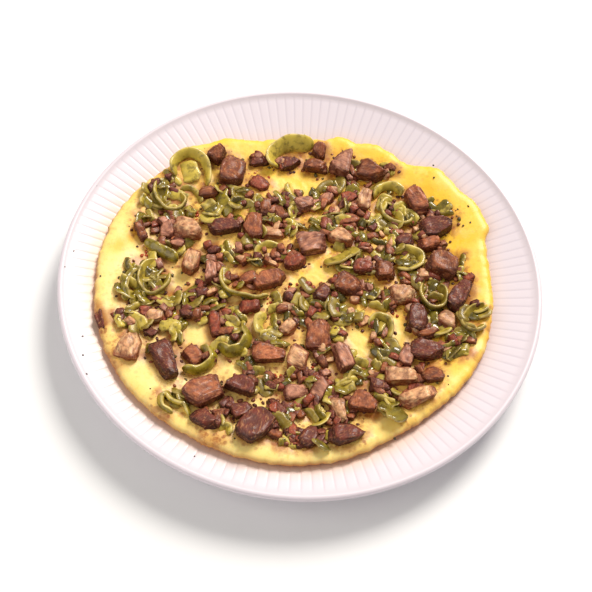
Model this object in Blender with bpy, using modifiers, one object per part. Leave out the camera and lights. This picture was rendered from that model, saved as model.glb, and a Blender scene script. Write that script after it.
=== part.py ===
"""An open, round omelette with diced browned meat and green pepper strips, on a round plate.

Metres, +Z up. The origin is the middle of the plate's foot, on the surface that it stands on.
"""

import math
import random

import bmesh
import bpy
from mathutils import Matrix, Vector
from mathutils.bvhtree import BVHTree

# Plate
PLATE_DIAMETER = 0.265
PLATE_HEIGHT = 0.022
PLATE_SIDES = 64
WELL_HEIGHT = 0.0075
WELL_RADIUS = 0.076
BEND_WIDTH = 0.016
BEND_SHARES = (0.35, 0.7, 1.0)
RIM_THICKNESS = 0.0036
BEAD_ANGLES = (110, 60, 10, -40, -80)
FLOOR_THICKNESS = 0.0048
FOOT_RADIUS = 0.080
FOOT_WIDTH = 0.005
FOOT_DEPTH = 0.0026
FOOT_ROUND = 0.0006
FOOT_DRAFT = 0.0012
UNDER_BEND = 0.012
UNDER_RISE = 0.0022
RIM_RISE = PLATE_HEIGHT - RIM_THICKNESS / 3 - WELL_HEIGHT
RIM_SLOPE = RIM_RISE / (PLATE_DIAMETER / 2 - RIM_THICKNESS - WELL_RADIUS - BEND_WIDTH / 2)

# Omelette
EGG_THICKNESS = 0.0070
EGG_WAVE = 0.0005
EGG_SIDES = 64
EGG_SWELLS = (0.019, 0.023, 0.013)
EGG_GAP = 0.0004

# How the toppings lie: gaps, how deep small bits are stuck in, and how far a piece without
# room may be shortened or moved
LAID_GAP = 0.00045
CLEARANCE = 0.0003
LIFT_STEP = 0.0001
SMALL_SUNK = 0.0011
DROP_HEIGHT = 0.1
DRAWN_IN = (1.0, 0.94, 0.88, 0.82, 0.76, 0.70)
NUDGE = 0.0012
NUDGES = ((0, 0), (1, 0), (0, 1), (-1, 0), (0, -1), (1, 1), (-1, 1), (-1, -1), (1, -1))

# Form of the meat dice
FLAT_POWER = 0.5
TOP_TILT = 0.12
CRAG_SHARE = 0.05
COARSE_UNDER = 0.0135
SMALL_SEED = 100

# Form of the pepper strips
PEPPER_WALL = 0.0024
PEPPER_HOLLOW = 0.0005
PEPPER_TAPER = 0.30
TAPER_POWER = 4
LARGE_STRIP_STEPS = 10
SMALL_STRIP_STEPS = 3
PATH_READS = 7
TANGENT_STEP = 0.01

SHARP_ANGLE = 50

# The omelette's outline seen from above, anticlockwise from its right side
EGG_OUTLINE = (
    (0.1060, -0.006), (0.1055, 0.008), (0.1040, 0.021), (0.1030, 0.031), (0.1050, 0.039),
    (0.1020, 0.049), (0.0970, 0.058), (0.0890, 0.066), (0.0810, 0.076), (0.0740, 0.0815),
    (0.0640, 0.083), (0.0560, 0.086), (0.0480, 0.092), (0.0380, 0.097), (0.0270, 0.098),
    (0.0170, 0.1015), (0.0080, 0.099), (-0.0030, 0.098), (-0.0150, 0.0965), (-0.0260, 0.0955),
    (-0.0350, 0.093), (-0.0440, 0.0930), (-0.0540, 0.0910), (-0.0630, 0.086), (-0.0720, 0.082),
    (-0.0790, 0.076), (-0.0830, 0.067), (-0.0900, 0.059), (-0.0980, 0.048), (-0.1060, 0.033),
    (-0.1120, 0.004), (-0.1090, -0.029), (-0.0980, -0.056), (-0.0800, -0.080), (-0.0530, -0.099),
    (-0.0190, -0.1105), (0.0180, -0.1095), (0.0540, -0.093), (0.0830, -0.069), (0.1000, -0.041),
)

# The omelette's section from the middle of its top round the edge to the middle of its
# underside: share of the outline's radius, share of the thickness
EGG_SECTION = (
    (0.26, 1.00), (0.48, 1.00), (0.66, 1.00), (0.80, 1.00), (0.90, 1.00), (0.955, 0.93),
    (0.985, 0.74), (1.00, 0.42), (0.985, 0.14), (0.94, 0.00), (0.83, 0.00), (0.70, 0.00), (0.40, 0.00),
)

# Meat pieces: place x and y, length, width, height, turn in degrees, squareness (2 is an oval,
# 6 is a sharp block), narrowing towards one end, and tone
MEAT_LARGE = (
    (-0.0455, 0.0665, 0.0210, 0.0155, 0.0072, 82, 5.0, 0.10, "pink"),
    (-0.0545, 0.0745, 0.0130, 0.0120, 0.0068, 70, 4.0, 0.10, "brown"),
    (0.0030, 0.0760, 0.0150, 0.0105, 0.0063, -12, 3.5, 0.20, "brown"),
    (0.0175, 0.0795, 0.0195, 0.0170, 0.0082, 75, 4.0, 0.25, "lilac"),
    (0.0350, 0.0750, 0.0190, 0.0150, 0.0070, -18, 4.0, 0.20, "brown"),
    (0.0340, 0.0551, 0.0175, 0.0120, 0.0063, 80, 4.5, 0.15, "tan"),
    (-0.0020, 0.0466, 0.0120, 0.0110, 0.0063, 20, 3.5, 0.10, "lilac"),
    (0.0620, 0.0546, 0.0175, 0.0110, 0.0068, -62, 5.5, 0.10, "pink"),
    (0.0745, 0.0379, 0.0190, 0.0150, 0.0072, 4, 4.5, 0.10, "dark"),
    (0.0700, 0.0259, 0.0160, 0.0100, 0.0068, 14, 4.0, 0.15, "pink"),
    (0.0460, 0.0055, 0.0120, 0.0120, 0.0068, 5, 4.5, 0.10, "brown"),
    (0.0325, 0.0075, 0.0115, 0.0110, 0.0068, -8, 4.0, 0.15, "red"),
    (0.0770, 0.0120, 0.0160, 0.0155, 0.0084, -26, 5.5, 0.05, "pink"),
    (0.0865, -0.0080, 0.0250, 0.0120, 0.0078, 66, 5.0, 0.15, "dark"),
    (0.0555, -0.0100, 0.0150, 0.0130, 0.0068, 8, 4.0, 0.10, "tan"),
    (0.0655, -0.0235, 0.0170, 0.0130, 0.0068, 100, 4.0, 0.15, "dark"),
    (0.0690, -0.0425, 0.0190, 0.0125, 0.0068, -8, 2.8, 0.00, "dark"),
    (-0.0660, 0.0215, 0.0160, 0.0150, 0.0072, -6, 4.5, 0.15, "tan"),
    (-0.0610, 0.0000, 0.0155, 0.0100, 0.0072, 84, 4.5, 0.10, "tan"),
    (-0.0455, 0.0264, 0.0185, 0.0100, 0.0063, 16, 3.5, 0.20, "dark"),
    (-0.0500, -0.0045, 0.0165, 0.0085, 0.0068, 100, 4.0, 0.20, "lilac"),
    (-0.0310, 0.0287, 0.0195, 0.0135, 0.0068, 92, 4.0, 0.15, "pink"),
    (0.0040, 0.0190, 0.0170, 0.0160, 0.0068, 12, 5.0, 0.15, "lilac"),
    (0.0205, 0.0249, 0.0150, 0.0110, 0.0068, -18, 4.0, 0.20, "tan"),
    (-0.0170, -0.0070, 0.0175, 0.0120, 0.0068, 26, 3.2, 0.10, "pink"),
    (0.0265, -0.0065, 0.0155, 0.0140, 0.0068, -22, 5.0, 0.15, "brown"),
    (0.0115, -0.0395, 0.0185, 0.0150, 0.0072, 92, 3.6, 0.10, "pink"),
    (-0.0150, -0.0530, 0.0180, 0.0135, 0.0061, -6, 4.5, 0.25, "pink"),
    (0.0020, -0.0530, 0.0170, 0.0135, 0.0063, 80, 4.0, 0.10, "tan"),
    (-0.0260, -0.0725, 0.0175, 0.0105, 0.0063, -18, 4.0, 0.10, "dark"),
    (-0.0150, -0.0955, 0.0205, 0.0170, 0.0072, 48, 4.5, 0.10, "brown"),
    (0.0285, -0.0960, 0.0190, 0.0135, 0.0068, 14, 4.0, 0.20, "dark"),
    (0.0250, -0.0505, 0.0190, 0.0105, 0.0072, 112, 3.6, 0.10, "lilac"),
    (0.0560, -0.0595, 0.0180, 0.0110, 0.0063, 4, 4.5, 0.15, "tan"),
    (0.0640, -0.0720, 0.0205, 0.0100, 0.0068, 30, 4.0, 0.10, "tan"),
    (0.0375, -0.0780, 0.0160, 0.0135, 0.0072, -14, 4.5, 0.20, "pink"),
    (-0.0865, -0.0590, 0.0190, 0.0165, 0.0050, 78, 5.5, 0.20, "tan"),
    (-0.0655, -0.0630, 0.0240, 0.0130, 0.0072, -64, 5.0, 0.10, "dark"),
    (-0.0430, -0.0790, 0.0210, 0.0165, 0.0078, 34, 5.0, 0.10, "brown"),
    (-0.0905, 0.0150, 0.0185, 0.0070, 0.0065, -62, 3.2, 0.00, "brown"),
)

MEAT_SMALL = (
    (-0.0590, 0.0494, 0.0135, 0.0070, 0.0055, 15, 2.8, 0.00, "brown"),
    (-0.0310, 0.0755, 0.0130, 0.0060, 0.0050, 12, 3.0, 0.10, "dark"),
    (-0.0120, 0.0765, 0.0130, 0.0095, 0.0061, 14, 3.2, 0.10, "dark"),
    (0.0045, 0.0880, 0.0105, 0.0090, 0.0063, 80, 3.5, 0.10, "brown"),
    (0.0235, 0.0546, 0.0110, 0.0095, 0.0063, 30, 4.0, 0.20, "red"),
    (0.0105, 0.0531, 0.0095, 0.0070, 0.0055, 10, 3.0, 0.00, "lilac"),
    (-0.0290, 0.0600, 0.0140, 0.0100, 0.0040, -30, 3.0, 0.10, "red"),
    (-0.0240, 0.0429, 0.0130, 0.0075, 0.0059, 92, 3.6, 0.10, "brown"),
    (-0.0155, 0.0402, 0.0120, 0.0065, 0.0057, 110, 3.6, 0.10, "brown"),
    (0.0255, 0.0384, 0.0135, 0.0085, 0.0059, 8, 2.6, 0.00, "pink"),
    (0.0565, 0.0278, 0.0130, 0.0090, 0.0061, 8, 4.0, 0.10, "dark"),
    (0.0670, 0.0055, 0.0085, 0.0075, 0.0055, 10, 2.6, 0.00, "tan"),
    (0.0700, -0.0320, 0.0130, 0.0070, 0.0061, 22, 3.5, 0.10, "brown"),
    (0.0815, -0.0235, 0.0130, 0.0100, 0.0059, -40, 3.8, 0.10, "tan"),
    (-0.0775, 0.0210, 0.0130, 0.0095, 0.0061, 90, 3.6, 0.10, "lilac"),
    (-0.0760, -0.0360, 0.0110, 0.0095, 0.0059, 20, 3.6, 0.10, "tan"),
    (-0.0440, -0.0370, 0.0170, 0.0070, 0.0059, -76, 3.6, 0.10, "red"),
    (-0.0185, 0.0244, 0.0140, 0.0085, 0.0059, 0, 4.0, 0.25, "tan"),
    (-0.0040, 0.0060, 0.0130, 0.0100, 0.0061, 20, 3.5, 0.10, "red"),
    (-0.0290, -0.0070, 0.0120, 0.0075, 0.0059, 22, 2.8, 0.00, "pink"),
    (0.0125, -0.0125, 0.0115, 0.0100, 0.0066, 70, 4.0, 0.15, "dark"),
    (-0.0265, -0.0250, 0.0115, 0.0095, 0.0061, 10, 4.0, 0.20, "red"),
    (-0.0045, -0.0355, 0.0110, 0.0090, 0.0057, 60, 3.6, 0.10, "tan"),
    (-0.0250, -0.0875, 0.0130, 0.0105, 0.0063, 20, 3.8, 0.15, "brown"),
    (-0.0415, -0.0955, 0.0145, 0.0105, 0.0061, -34, 4.0, 0.15, "brown"),
    (-0.0065, -0.0835, 0.0150, 0.0055, 0.0057, -44, 3.5, 0.10, "dark"),
    (0.0020, -0.0735, 0.0130, 0.0095, 0.0050, 10, 4.0, 0.15, "lilac"),
    (0.0145, -0.0710, 0.0135, 0.0100, 0.0059, 60, 3.8, 0.10, "lilac"),
    (0.0245, -0.0820, 0.0150, 0.0100, 0.0066, -70, 4.5, 0.30, "tan"),
    (0.0105, -0.0985, 0.0140, 0.0095, 0.0061, 70, 3.6, 0.10, "dark"),
    (0.0595, -0.0465, 0.0150, 0.0095, 0.0061, 76, 4.5, 0.10, "lilac"),
    (0.0720, -0.0580, 0.0115, 0.0090, 0.0061, 10, 2.8, 0.00, "brown"),
    (0.0445, -0.0655, 0.0130, 0.0075, 0.0057, 0, 3.6, 0.10, "dark"),
    (-0.0525, -0.0580, 0.0120, 0.0100, 0.0055, -48, 4.5, 0.10, "pink"),
)

# Pepper strips: the line of the strip's foot seen from above, the width of the strip, and how
# far it leans over to the left of that line, in degrees
PEPPER_LARGE = (
    (((-0.0775, 0.0570), (-0.0785, 0.0650), (-0.0725, 0.0710), (-0.0650, 0.0685), (-0.0615, 0.0620),
      (-0.0605, 0.0545)), 0.0060, 32),
    (((-0.0865, 0.0512), (-0.0855, 0.0429), (-0.0810, 0.0370), (-0.0760, 0.0361), (-0.0725, 0.0407),
      (-0.0755, 0.0457)), 0.0052, -26),
    (((-0.0185, 0.0735), (-0.0210, 0.0780), (-0.0180, 0.0830), (-0.0115, 0.0860), (-0.0045, 0.0865),
      (0.0000, 0.0900)), 0.0090, 40),
    (((0.0395, 0.0570), (0.0440, 0.0630), (0.0505, 0.0630), (0.0540, 0.0595)), 0.0052, 28),
    (((0.0475, 0.0546), (0.0450, 0.0480), (0.0490, 0.0425), (0.0560, 0.0416), (0.0590, 0.0452)), 0.0048, -32),
    (((0.0515, 0.0185), (0.0585, 0.0205), (0.0645, 0.0175), (0.0640, 0.0125), (0.0590, 0.0090),
      (0.0530, 0.0095)), 0.0052, 28),
    (((0.0685, -0.0010), (0.0680, -0.0085), (0.0715, -0.0145), (0.0765, -0.0130), (0.0770, -0.0060),
      (0.0745, -0.0020)), 0.0060, -24),
    (((0.1000, -0.0150), (0.0940, -0.0185), (0.0905, -0.0245), (0.0940, -0.0285), (0.0985, -0.0255)),
     0.0048, -36),
    (((0.0395, -0.0315), (0.0415, -0.0270), (0.0465, -0.0270), (0.0485, -0.0315), (0.0485, -0.0380)),
     0.0056, 22),
    (((-0.0885, 0.0080), (-0.0820, 0.0045), (-0.0755, 0.0020), (-0.0695, 0.0005)), 0.0058, 56),
    (((-0.0790, -0.0025), (-0.0835, -0.0080), (-0.0845, -0.0155), (-0.0800, -0.0205), (-0.0750, -0.0155),
      (-0.0740, -0.0080)), 0.0060, -30),
    (((-0.0910, -0.0070), (-0.0945, -0.0140), (-0.0955, -0.0220), (-0.0925, -0.0295)), 0.0052, 38),
    (((-0.0420, -0.0010), (-0.0415, -0.0100), (-0.0370, -0.0155), (-0.0300, -0.0170), (-0.0235, -0.0180),
      (-0.0180, -0.0155)), 0.0056, -24),
    (((0.0120, 0.0095), (0.0180, 0.0125), (0.0240, 0.0165), (0.0280, 0.0205)), 0.0070, -58),
    (((-0.0405, -0.0510), (-0.0340, -0.0555), (-0.0270, -0.0525), (-0.0240, -0.0445), (-0.0275, -0.0375)),
     0.0064, 34),
    (((-0.0570, -0.0670), (-0.0500, -0.0680), (-0.0435, -0.0640), (-0.0410, -0.0580), (-0.0445, -0.0520)),
     0.0052, 32),
    (((-0.0600, -0.0935), (-0.0655, -0.0905), (-0.0670, -0.0850), (-0.0635, -0.0820), (-0.0595, -0.0855),
      (-0.0540, -0.0870), (-0.0510, -0.0925)), 0.0048, -24),
    (((0.0480, -0.0735), (0.0540, -0.0785), (0.0590, -0.0845)), 0.0100, -62),
)

PEPPER_SMALL = (
    (((-0.0860, 0.0605), (-0.0815, 0.0565), (-0.0795, 0.0527)), 0.0036, 24),
    (((-0.0745, 0.0498), (-0.0685, 0.0508), (-0.0640, 0.0466), (-0.0620, 0.0420)), 0.0040, 34),
    (((0.0180, 0.0447), (0.0240, 0.0466), (0.0295, 0.0452)), 0.0040, 26),
    (((0.0135, 0.0489), (0.0130, 0.0434), (0.0145, 0.0388)), 0.0040, 26),
    (((0.0200, 0.0675), (0.0240, 0.0670), (0.0300, 0.0660)), 0.0032, 22),
    (((0.0695, 0.0489), (0.0770, 0.0475), (0.0850, 0.0480)), 0.0036, 38),
    (((0.0475, 0.0315), (0.0480, 0.0230)), 0.0056, 42),
    (((0.0890, 0.0210), (0.0875, 0.0120)), 0.0040, 30),
    (((0.0800, -0.0475), (0.0860, -0.0460), (0.0915, -0.0430)), 0.0048, 54),
    (((-0.0915, 0.0315), (-0.0875, 0.0249)), 0.0040, 42),
    (((-0.0890, -0.0310), (-0.0860, -0.0250), (-0.0820, -0.0280)), 0.0040, 36),
    (((-0.0770, -0.0255), (-0.0700, -0.0275), (-0.0650, -0.0230)), 0.0048, 44),
    (((-0.0455, 0.0175), (-0.0430, 0.0100), (-0.0390, 0.0055)), 0.0052, 32),
    (((0.0180, 0.0343), (0.0250, 0.0315), (0.0290, 0.0268)), 0.0040, 28),
    (((-0.0130, 0.0348), (-0.0090, 0.0315), (-0.0060, 0.0273)), 0.0052, 36),
    (((-0.0260, 0.0095), (-0.0245, 0.0140), (-0.0195, 0.0165), (-0.0120, 0.0160)), 0.0048, 26),
    (((0.0050, -0.0190), (0.0120, -0.0210), (0.0200, -0.0220)), 0.0048, 38),
    (((-0.0045, -0.0225), (-0.0010, -0.0270), (0.0035, -0.0270)), 0.0048, 26),
    (((-0.0140, -0.0275), (-0.0135, -0.0335), (-0.0115, -0.0395)), 0.0048, 28),
    (((0.0210, -0.0240), (0.0280, -0.0290)), 0.0060, 56),
    (((0.0120, -0.0820), (0.0160, -0.0860)), 0.0048, 50),
    (((0.0230, -0.0700), (0.0280, -0.0660), (0.0340, -0.0630)), 0.0048, 36),
    (((0.0450, -0.0410), (0.0490, -0.0465)), 0.0040, 34),
    (((-0.0675, -0.0375), (-0.0640, -0.0455), (-0.0605, -0.0520)), 0.0052, 36),
    (((-0.0965, -0.0390), (-0.0940, -0.0440), (-0.0890, -0.0465)), 0.0050, 26),
    (((-0.0550, 0.0540), (-0.0535, 0.0460), (-0.0500, 0.0380), (-0.0465, 0.0330)), 0.0085, 62),
    (((-0.0510, 0.0550), (-0.0420, 0.0525), (-0.0335, 0.0495)), 0.0045, 30),
    (((-0.0390, 0.0425), (-0.0340, 0.0425), (-0.0295, 0.0400)), 0.0055, 45),
    (((-0.0225, 0.0330), (-0.0160, 0.0315)), 0.0055, 40),
    (((0.0305, -0.0560), (0.0350, -0.0545), (0.0385, -0.0555)), 0.0055, 45),
    (((0.0830, -0.0360), (0.0880, -0.0330), (0.0905, -0.0290)), 0.0050, 45),
)

# Colour, roughness
FINISHES = {
    "porcelain": ((0.86, 0.80, 0.82), 0.18),
    "egg": ((0.92, 0.66, 0.17), 0.42),
    "meat_tan": ((0.52, 0.27, 0.17), 0.48),
    "meat_pink": ((0.42, 0.17, 0.12), 0.46),
    "meat_lilac": ((0.40, 0.22, 0.22), 0.42),
    "meat_brown": ((0.25, 0.075, 0.035), 0.45),
    "meat_red": ((0.34, 0.08, 0.035), 0.45),
    "meat_dark": ((0.12, 0.035, 0.030), 0.42),
    "pepper": ((0.23, 0.22, 0.035), 0.22),
}


def clear_scene():
    for obj in list(bpy.data.objects):
        bpy.data.objects.remove(obj, do_unlink=True)


def new_collection(name):
    collection = bpy.data.collections.new(name)
    bpy.context.scene.collection.children.link(collection)
    return collection


def finish(name):
    """The Principled material of one finish, made once."""
    if name in bpy.data.materials:
        return bpy.data.materials[name]
    colour, roughness = FINISHES[name]
    material = bpy.data.materials.new(name)
    material.use_nodes = True
    shader = material.node_tree.nodes["Principled BSDF"]
    shader.inputs["Base Color"].default_value = (*colour, 1.0)
    shader.inputs["Roughness"].default_value = roughness
    shader.inputs["Metallic"].default_value = 0.0
    material.diffuse_color = (*colour, 1.0)
    return material


def new_object(name, bm, collection, material):
    mesh = bpy.data.meshes.new(name)
    bm.to_mesh(mesh)
    bm.free()
    mesh.materials.append(finish(material))
    obj = bpy.data.objects.new(name, mesh)
    collection.objects.link(obj)
    return obj


def applied_mesh(obj):
    """The object's mesh with its modifiers carried out."""
    bpy.context.view_layer.update()
    graph = bpy.context.evaluated_depsgraph_get()
    return bpy.data.meshes.new_from_object(obj.evaluated_get(graph), depsgraph=graph)


def plate_top(radius):
    """Height of the plate's upper face: a flat well, a soft bend, then a straight slope."""
    past = radius - WELL_RADIUS
    if past <= 0:
        return WELL_HEIGHT
    if past < BEND_WIDTH:
        return WELL_HEIGHT + RIM_SLOPE * past * past / (2 * BEND_WIDTH)
    return WELL_HEIGHT + RIM_SLOPE * (past - BEND_WIDTH / 2)


def plate_profile():
    """The plate's half section, from the middle of the well out over the rim and back below."""
    bead = RIM_THICKNESS / 2
    bead_radius = PLATE_DIAMETER / 2 - bead
    bead_height = PLATE_HEIGHT - bead
    upper = [0.0, WELL_RADIUS]
    upper += [WELL_RADIUS + BEND_WIDTH * share for share in BEND_SHARES]
    upper += [bead_radius - bead]
    points = [(radius, plate_top(radius)) for radius in upper]
    for angle in BEAD_ANGLES:
        turn = math.radians(angle)
        points.append((bead_radius + bead * math.cos(turn), bead_height + bead * math.sin(turn)))
    foot_inside = FOOT_RADIUS - FOOT_WIDTH
    points += [
        (FOOT_RADIUS + UNDER_BEND, FOOT_DEPTH + UNDER_RISE),
        (FOOT_RADIUS + FOOT_DRAFT, FOOT_DEPTH),
        (FOOT_RADIUS, FOOT_ROUND),
        (FOOT_RADIUS - FOOT_ROUND, 0.0),
        (foot_inside + FOOT_ROUND, 0.0),
        (foot_inside, FOOT_ROUND),
        (foot_inside - FOOT_DRAFT, WELL_HEIGHT - FLOOR_THICKNESS),
        (0.0, WELL_HEIGHT - FLOOR_THICKNESS),
    ]
    return points


def build_plate(collection):
    bm = bmesh.new()
    points = [bm.verts.new((radius, 0.0, height)) for radius, height in plate_profile()]
    for first, second in zip(points, points[1:]):
        bm.edges.new((first, second))
    plate = new_object("plate", bm, collection, "porcelain")
    screw = plate.modifiers.new("turned", "SCREW")
    screw.axis = "Z"
    screw.steps = PLATE_SIDES
    screw.render_steps = PLATE_SIDES
    screw.use_merge_vertices = True
    screw.merge_threshold = 0.00001
    screw.use_smooth_shade = True
    return plate


def curve_through(points, share):
    """A smooth curve through the points (Catmull-Rom), read at a share of its run from 0 to 1."""
    spans = len(points) - 1
    place = min(max(share, 0.0), 1.0) * spans
    index = min(int(place), spans - 1)
    t = place - index
    p1, p2 = Vector(points[index]), Vector(points[index + 1])
    p0 = Vector(points[index - 1]) if index > 0 else 2 * p1 - p2
    p3 = Vector(points[index + 2]) if index + 2 <= spans else 2 * p2 - p1
    return 0.5 * (2 * p1 + (p2 - p0) * t + (2 * p0 - 5 * p1 + 4 * p2 - p3) * t**2
                  + (3 * p1 - p0 - 3 * p2 + p3) * t**3)


def egg_radius_at(angle):
    """The outline's distance from the plate's axis in a direction, read off the closed outline."""
    turn = 2 * math.pi
    corners = [(math.atan2(y, x) % turn, math.hypot(x, y)) for x, y in EGG_OUTLINE]
    corners.sort()
    count = len(corners)
    angle %= turn
    after = next((i for i, (start, _) in enumerate(corners) if start > angle), count)
    around = [corners[(after + step) % count] for step in (-2, -1, 0, 1)]
    start, end = around[1][0], around[2][0]
    share = ((angle - start) % turn) / ((end - start) % turn)
    r0, r1, r2, r3 = (radius for _, radius in around)
    return 0.5 * (2 * r1 + (r2 - r0) * share + (2 * r0 - 5 * r1 + 4 * r2 - r3) * share**2
                  + (3 * r1 - r0 - 3 * r2 + r3) * share**3)


def egg_thickness(x, y):
    """Low swells, as an omelette sets unevenly."""
    wide, deep, slant = EGG_SWELLS
    swell = math.sin(x / wide + 1.0) * math.cos(y / deep) + 0.8 * math.sin((x - y) / slant + 2.0)
    return EGG_THICKNESS + EGG_WAVE * swell


def build_egg(collection):
    """A UV sphere whose rings are moved out to the omelette's outline and section."""
    bm = bmesh.new()
    rings = len(EGG_SECTION)
    bmesh.ops.create_uvsphere(bm, u_segments=EGG_SIDES, v_segments=rings + 1, radius=1.0)
    for vert in bm.verts:
        ring = round(math.acos(max(-1.0, min(1.0, vert.co.z))) / math.pi * (rings + 1))
        if ring in (0, rings + 1):
            share, level = 0.0, 1.0 if ring == 0 else 0.0
            angle = 0.0
        else:
            share, level = EGG_SECTION[ring - 1]
            angle = math.atan2(vert.co.y, vert.co.x)
        radius = share * egg_radius_at(angle)
        x, y = radius * math.cos(angle), radius * math.sin(angle)
        vert.co = (x, y, plate_top(radius) + EGG_GAP + level * egg_thickness(x, y))
    bmesh.ops.recalc_face_normals(bm, faces=bm.faces)
    return new_object("omelette", bm, collection, "egg")


def chunk_mesh(length, width, height, squareness, narrowing, cuts, seed):
    """A diced piece: a cut-up cube rounded off, narrowed to one end and roughened, on z = 0."""
    draw = random.Random(seed)
    bm = bmesh.new()
    bmesh.ops.create_cube(bm, size=2.0)
    bmesh.ops.subdivide_edges(bm, edges=bm.edges[:], cuts=cuts, use_grid_fill=True)
    tip = (draw.uniform(-TOP_TILT, TOP_TILT), draw.uniform(-TOP_TILT, TOP_TILT))
    for vert in bm.verts:
        u, v, w = (math.copysign(abs(c) ** FLAT_POWER, c) for c in vert.co)
        reach = (abs(u)**squareness + abs(v)**squareness + abs(w)**squareness) ** (1 / squareness)
        u, v, w = u / reach, v / reach, w / reach
        v *= 1 - narrowing * (u + 1)
        w += tip[0] * u * (w + 1) / 2 + tip[1] * v * (w + 1) / 2
        rough = Vector([draw.uniform(-CRAG_SHARE, CRAG_SHARE) for _ in range(3)])
        rough.z *= (w + 1) / 2
        vert.co = Vector((u, v, w)) + rough
    low = min(vert.co.z for vert in bm.verts)
    for vert in bm.verts:
        vert.co = (vert.co.x * length / 2, vert.co.y * width / 2, (vert.co.z - low) * height / 2)
    return bm


def strip_mesh(foot, width, lean, steps, rows):
    """A strip of pepper wall that follows its foot line, leaning, thickened and on z = 0."""
    bm = bmesh.new()
    bmesh.ops.create_grid(bm, x_segments=steps, y_segments=rows, size=1.0)
    tilt = math.radians(lean)
    for vert in bm.verts:
        share, across = (vert.co.x + 1) / 2, (vert.co.y + 1) / 2
        here = curve_through(foot, share)
        ahead = curve_through(foot, share + TANGENT_STEP) - curve_through(foot, share - TANGENT_STEP)
        side = Vector((-ahead.y, ahead.x)).normalized()
        end = abs(2 * share - 1) ** TAPER_POWER
        tall = width * (1 - PEPPER_TAPER * end) * across
        bow = PEPPER_HOLLOW * 4 * across * (1 - across)
        out = math.sin(tilt) * tall - math.cos(tilt) * bow
        up = math.cos(tilt) * tall + math.sin(tilt) * bow
        vert.co = (here.x + side.x * out, here.y + side.y * out, up)
    bmesh.ops.recalc_face_normals(bm, faces=bm.faces)
    return bm


def thickened(bm):
    """The strip with its wall thickness, as a closed mesh."""
    mesh = bpy.data.meshes.new("strip")
    bm.to_mesh(mesh)
    bm.free()
    strip = bpy.data.objects.new("strip", mesh)
    bpy.context.scene.collection.objects.link(strip)
    solidify = strip.modifiers.new("wall", "SOLIDIFY")
    solidify.thickness = PEPPER_WALL
    solidify.offset = 0.0
    solidify.use_even_offset = True
    whole = bmesh.new()
    solid = applied_mesh(strip)
    whole.from_mesh(solid)
    bpy.data.objects.remove(strip, do_unlink=True)
    bpy.data.meshes.remove(mesh)
    bpy.data.meshes.remove(solid)
    return whole


def swollen_tree(bm):
    """The mesh grown by the clearance, for testing against its neighbours."""
    bm.normal_update()
    grown = bm.copy()
    for vert in grown.verts:
        vert.co += vert.normal * CLEARANCE
    tree = BVHTree.FromBMesh(grown)
    grown.free()
    return tree


def lay_on(bm, ground, gap):
    """Drops a mesh in plan position onto the ground, which it then follows at this gap."""
    low = min(vert.co.z for vert in bm.verts)
    down = Vector((0, 0, -1))
    for vert in bm.verts:
        hit = ground.ray_cast(Vector((vert.co.x, vert.co.y, DROP_HEIGHT)), down)[0]
        if hit is None:
            return False
        vert.co.z += hit.z + gap - low
    while gap > 0 and swollen_tree(bm).overlap(ground):
        bmesh.ops.translate(bm, verts=bm.verts, vec=(0, 0, LIFT_STEP))
    return True


def is_clear(bm, laid):
    tree = swollen_tree(bm)
    return not any(tree.overlap(other) for other in laid)


def meat_at(row, share, nudge, cuts, seed):
    x, y, length, width, height, turn, squareness, narrowing, _ = row
    bm = chunk_mesh(length * share, width * share, height, squareness, narrowing, cuts, seed)
    move = Matrix.Translation((x + nudge[0] * NUDGE, y + nudge[1] * NUDGE, 0))
    bm.transform(move @ Matrix.Rotation(math.radians(turn), 4, "Z"))
    return bm


def pepper_at(row, share, nudge, steps, rows):
    foot, width, lean = row
    path = [(x + nudge[0] * NUDGE, y + nudge[1] * NUDGE) for x, y in foot]
    if share < 1:
        start = (1 - share) / 2
        path = [curve_through(path, start + share * i / (PATH_READS - 1)) for i in range(PATH_READS)]
    return thickened(strip_mesh(path, width, lean, steps, rows))


def laid_clear(make, ground, laid, gap):
    """The piece at its own place, or drawn in and nudged until it clears what is already laid."""
    for share in DRAWN_IN:
        for nudge in NUDGES:
            bm = make(share, nudge)
            if lay_on(bm, ground, gap) and is_clear(bm, laid):
                return bm
            bm.free()
    return None


def placed(name, bm, collection, material):
    """Makes the object with its origin at the middle of its foot."""
    corners = [vert.co for vert in bm.verts]
    middle = Vector((
        (min(c.x for c in corners) + max(c.x for c in corners)) / 2,
        (min(c.y for c in corners) + max(c.y for c in corners)) / 2,
        min(c.z for c in corners),
    ))
    bm.transform(Matrix.Translation(-middle))
    obj = new_object(name, bm, collection, material)
    obj.location = middle
    obj.data.shade_smooth()
    obj.data.set_sharp_from_angle(angle=math.radians(SHARP_ANGLE))
    return obj


def lay_toppings(collection, ground):
    """The large pieces, each its own object; gives back what smaller pieces have to clear."""
    laid = []
    missing = []
    for number, row in enumerate(PEPPER_LARGE, 1):
        bm = laid_clear(lambda share, nudge: pepper_at(row, share, nudge, LARGE_STRIP_STEPS, 2),
                        ground, laid, LAID_GAP)
        if bm is None:
            missing.append(f"pepper_{number:02d}")
            continue
        laid.append(BVHTree.FromBMesh(bm))
        placed(f"pepper_{number:02d}", bm, collection, "pepper")
    for number, row in enumerate(MEAT_LARGE, 1):
        cuts = 2 if row[2] > COARSE_UNDER else 1
        bm = laid_clear(lambda share, nudge: meat_at(row, share, nudge, cuts, number), ground, laid, LAID_GAP)
        if bm is None:
            missing.append(f"meat_{number:02d}")
            continue
        laid.append(BVHTree.FromBMesh(bm))
        placed(f"meat_{number:02d}", bm, collection, "meat_" + row[8])
    if missing:
        raise ValueError("no room for " + ", ".join(missing))
    return laid


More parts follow.
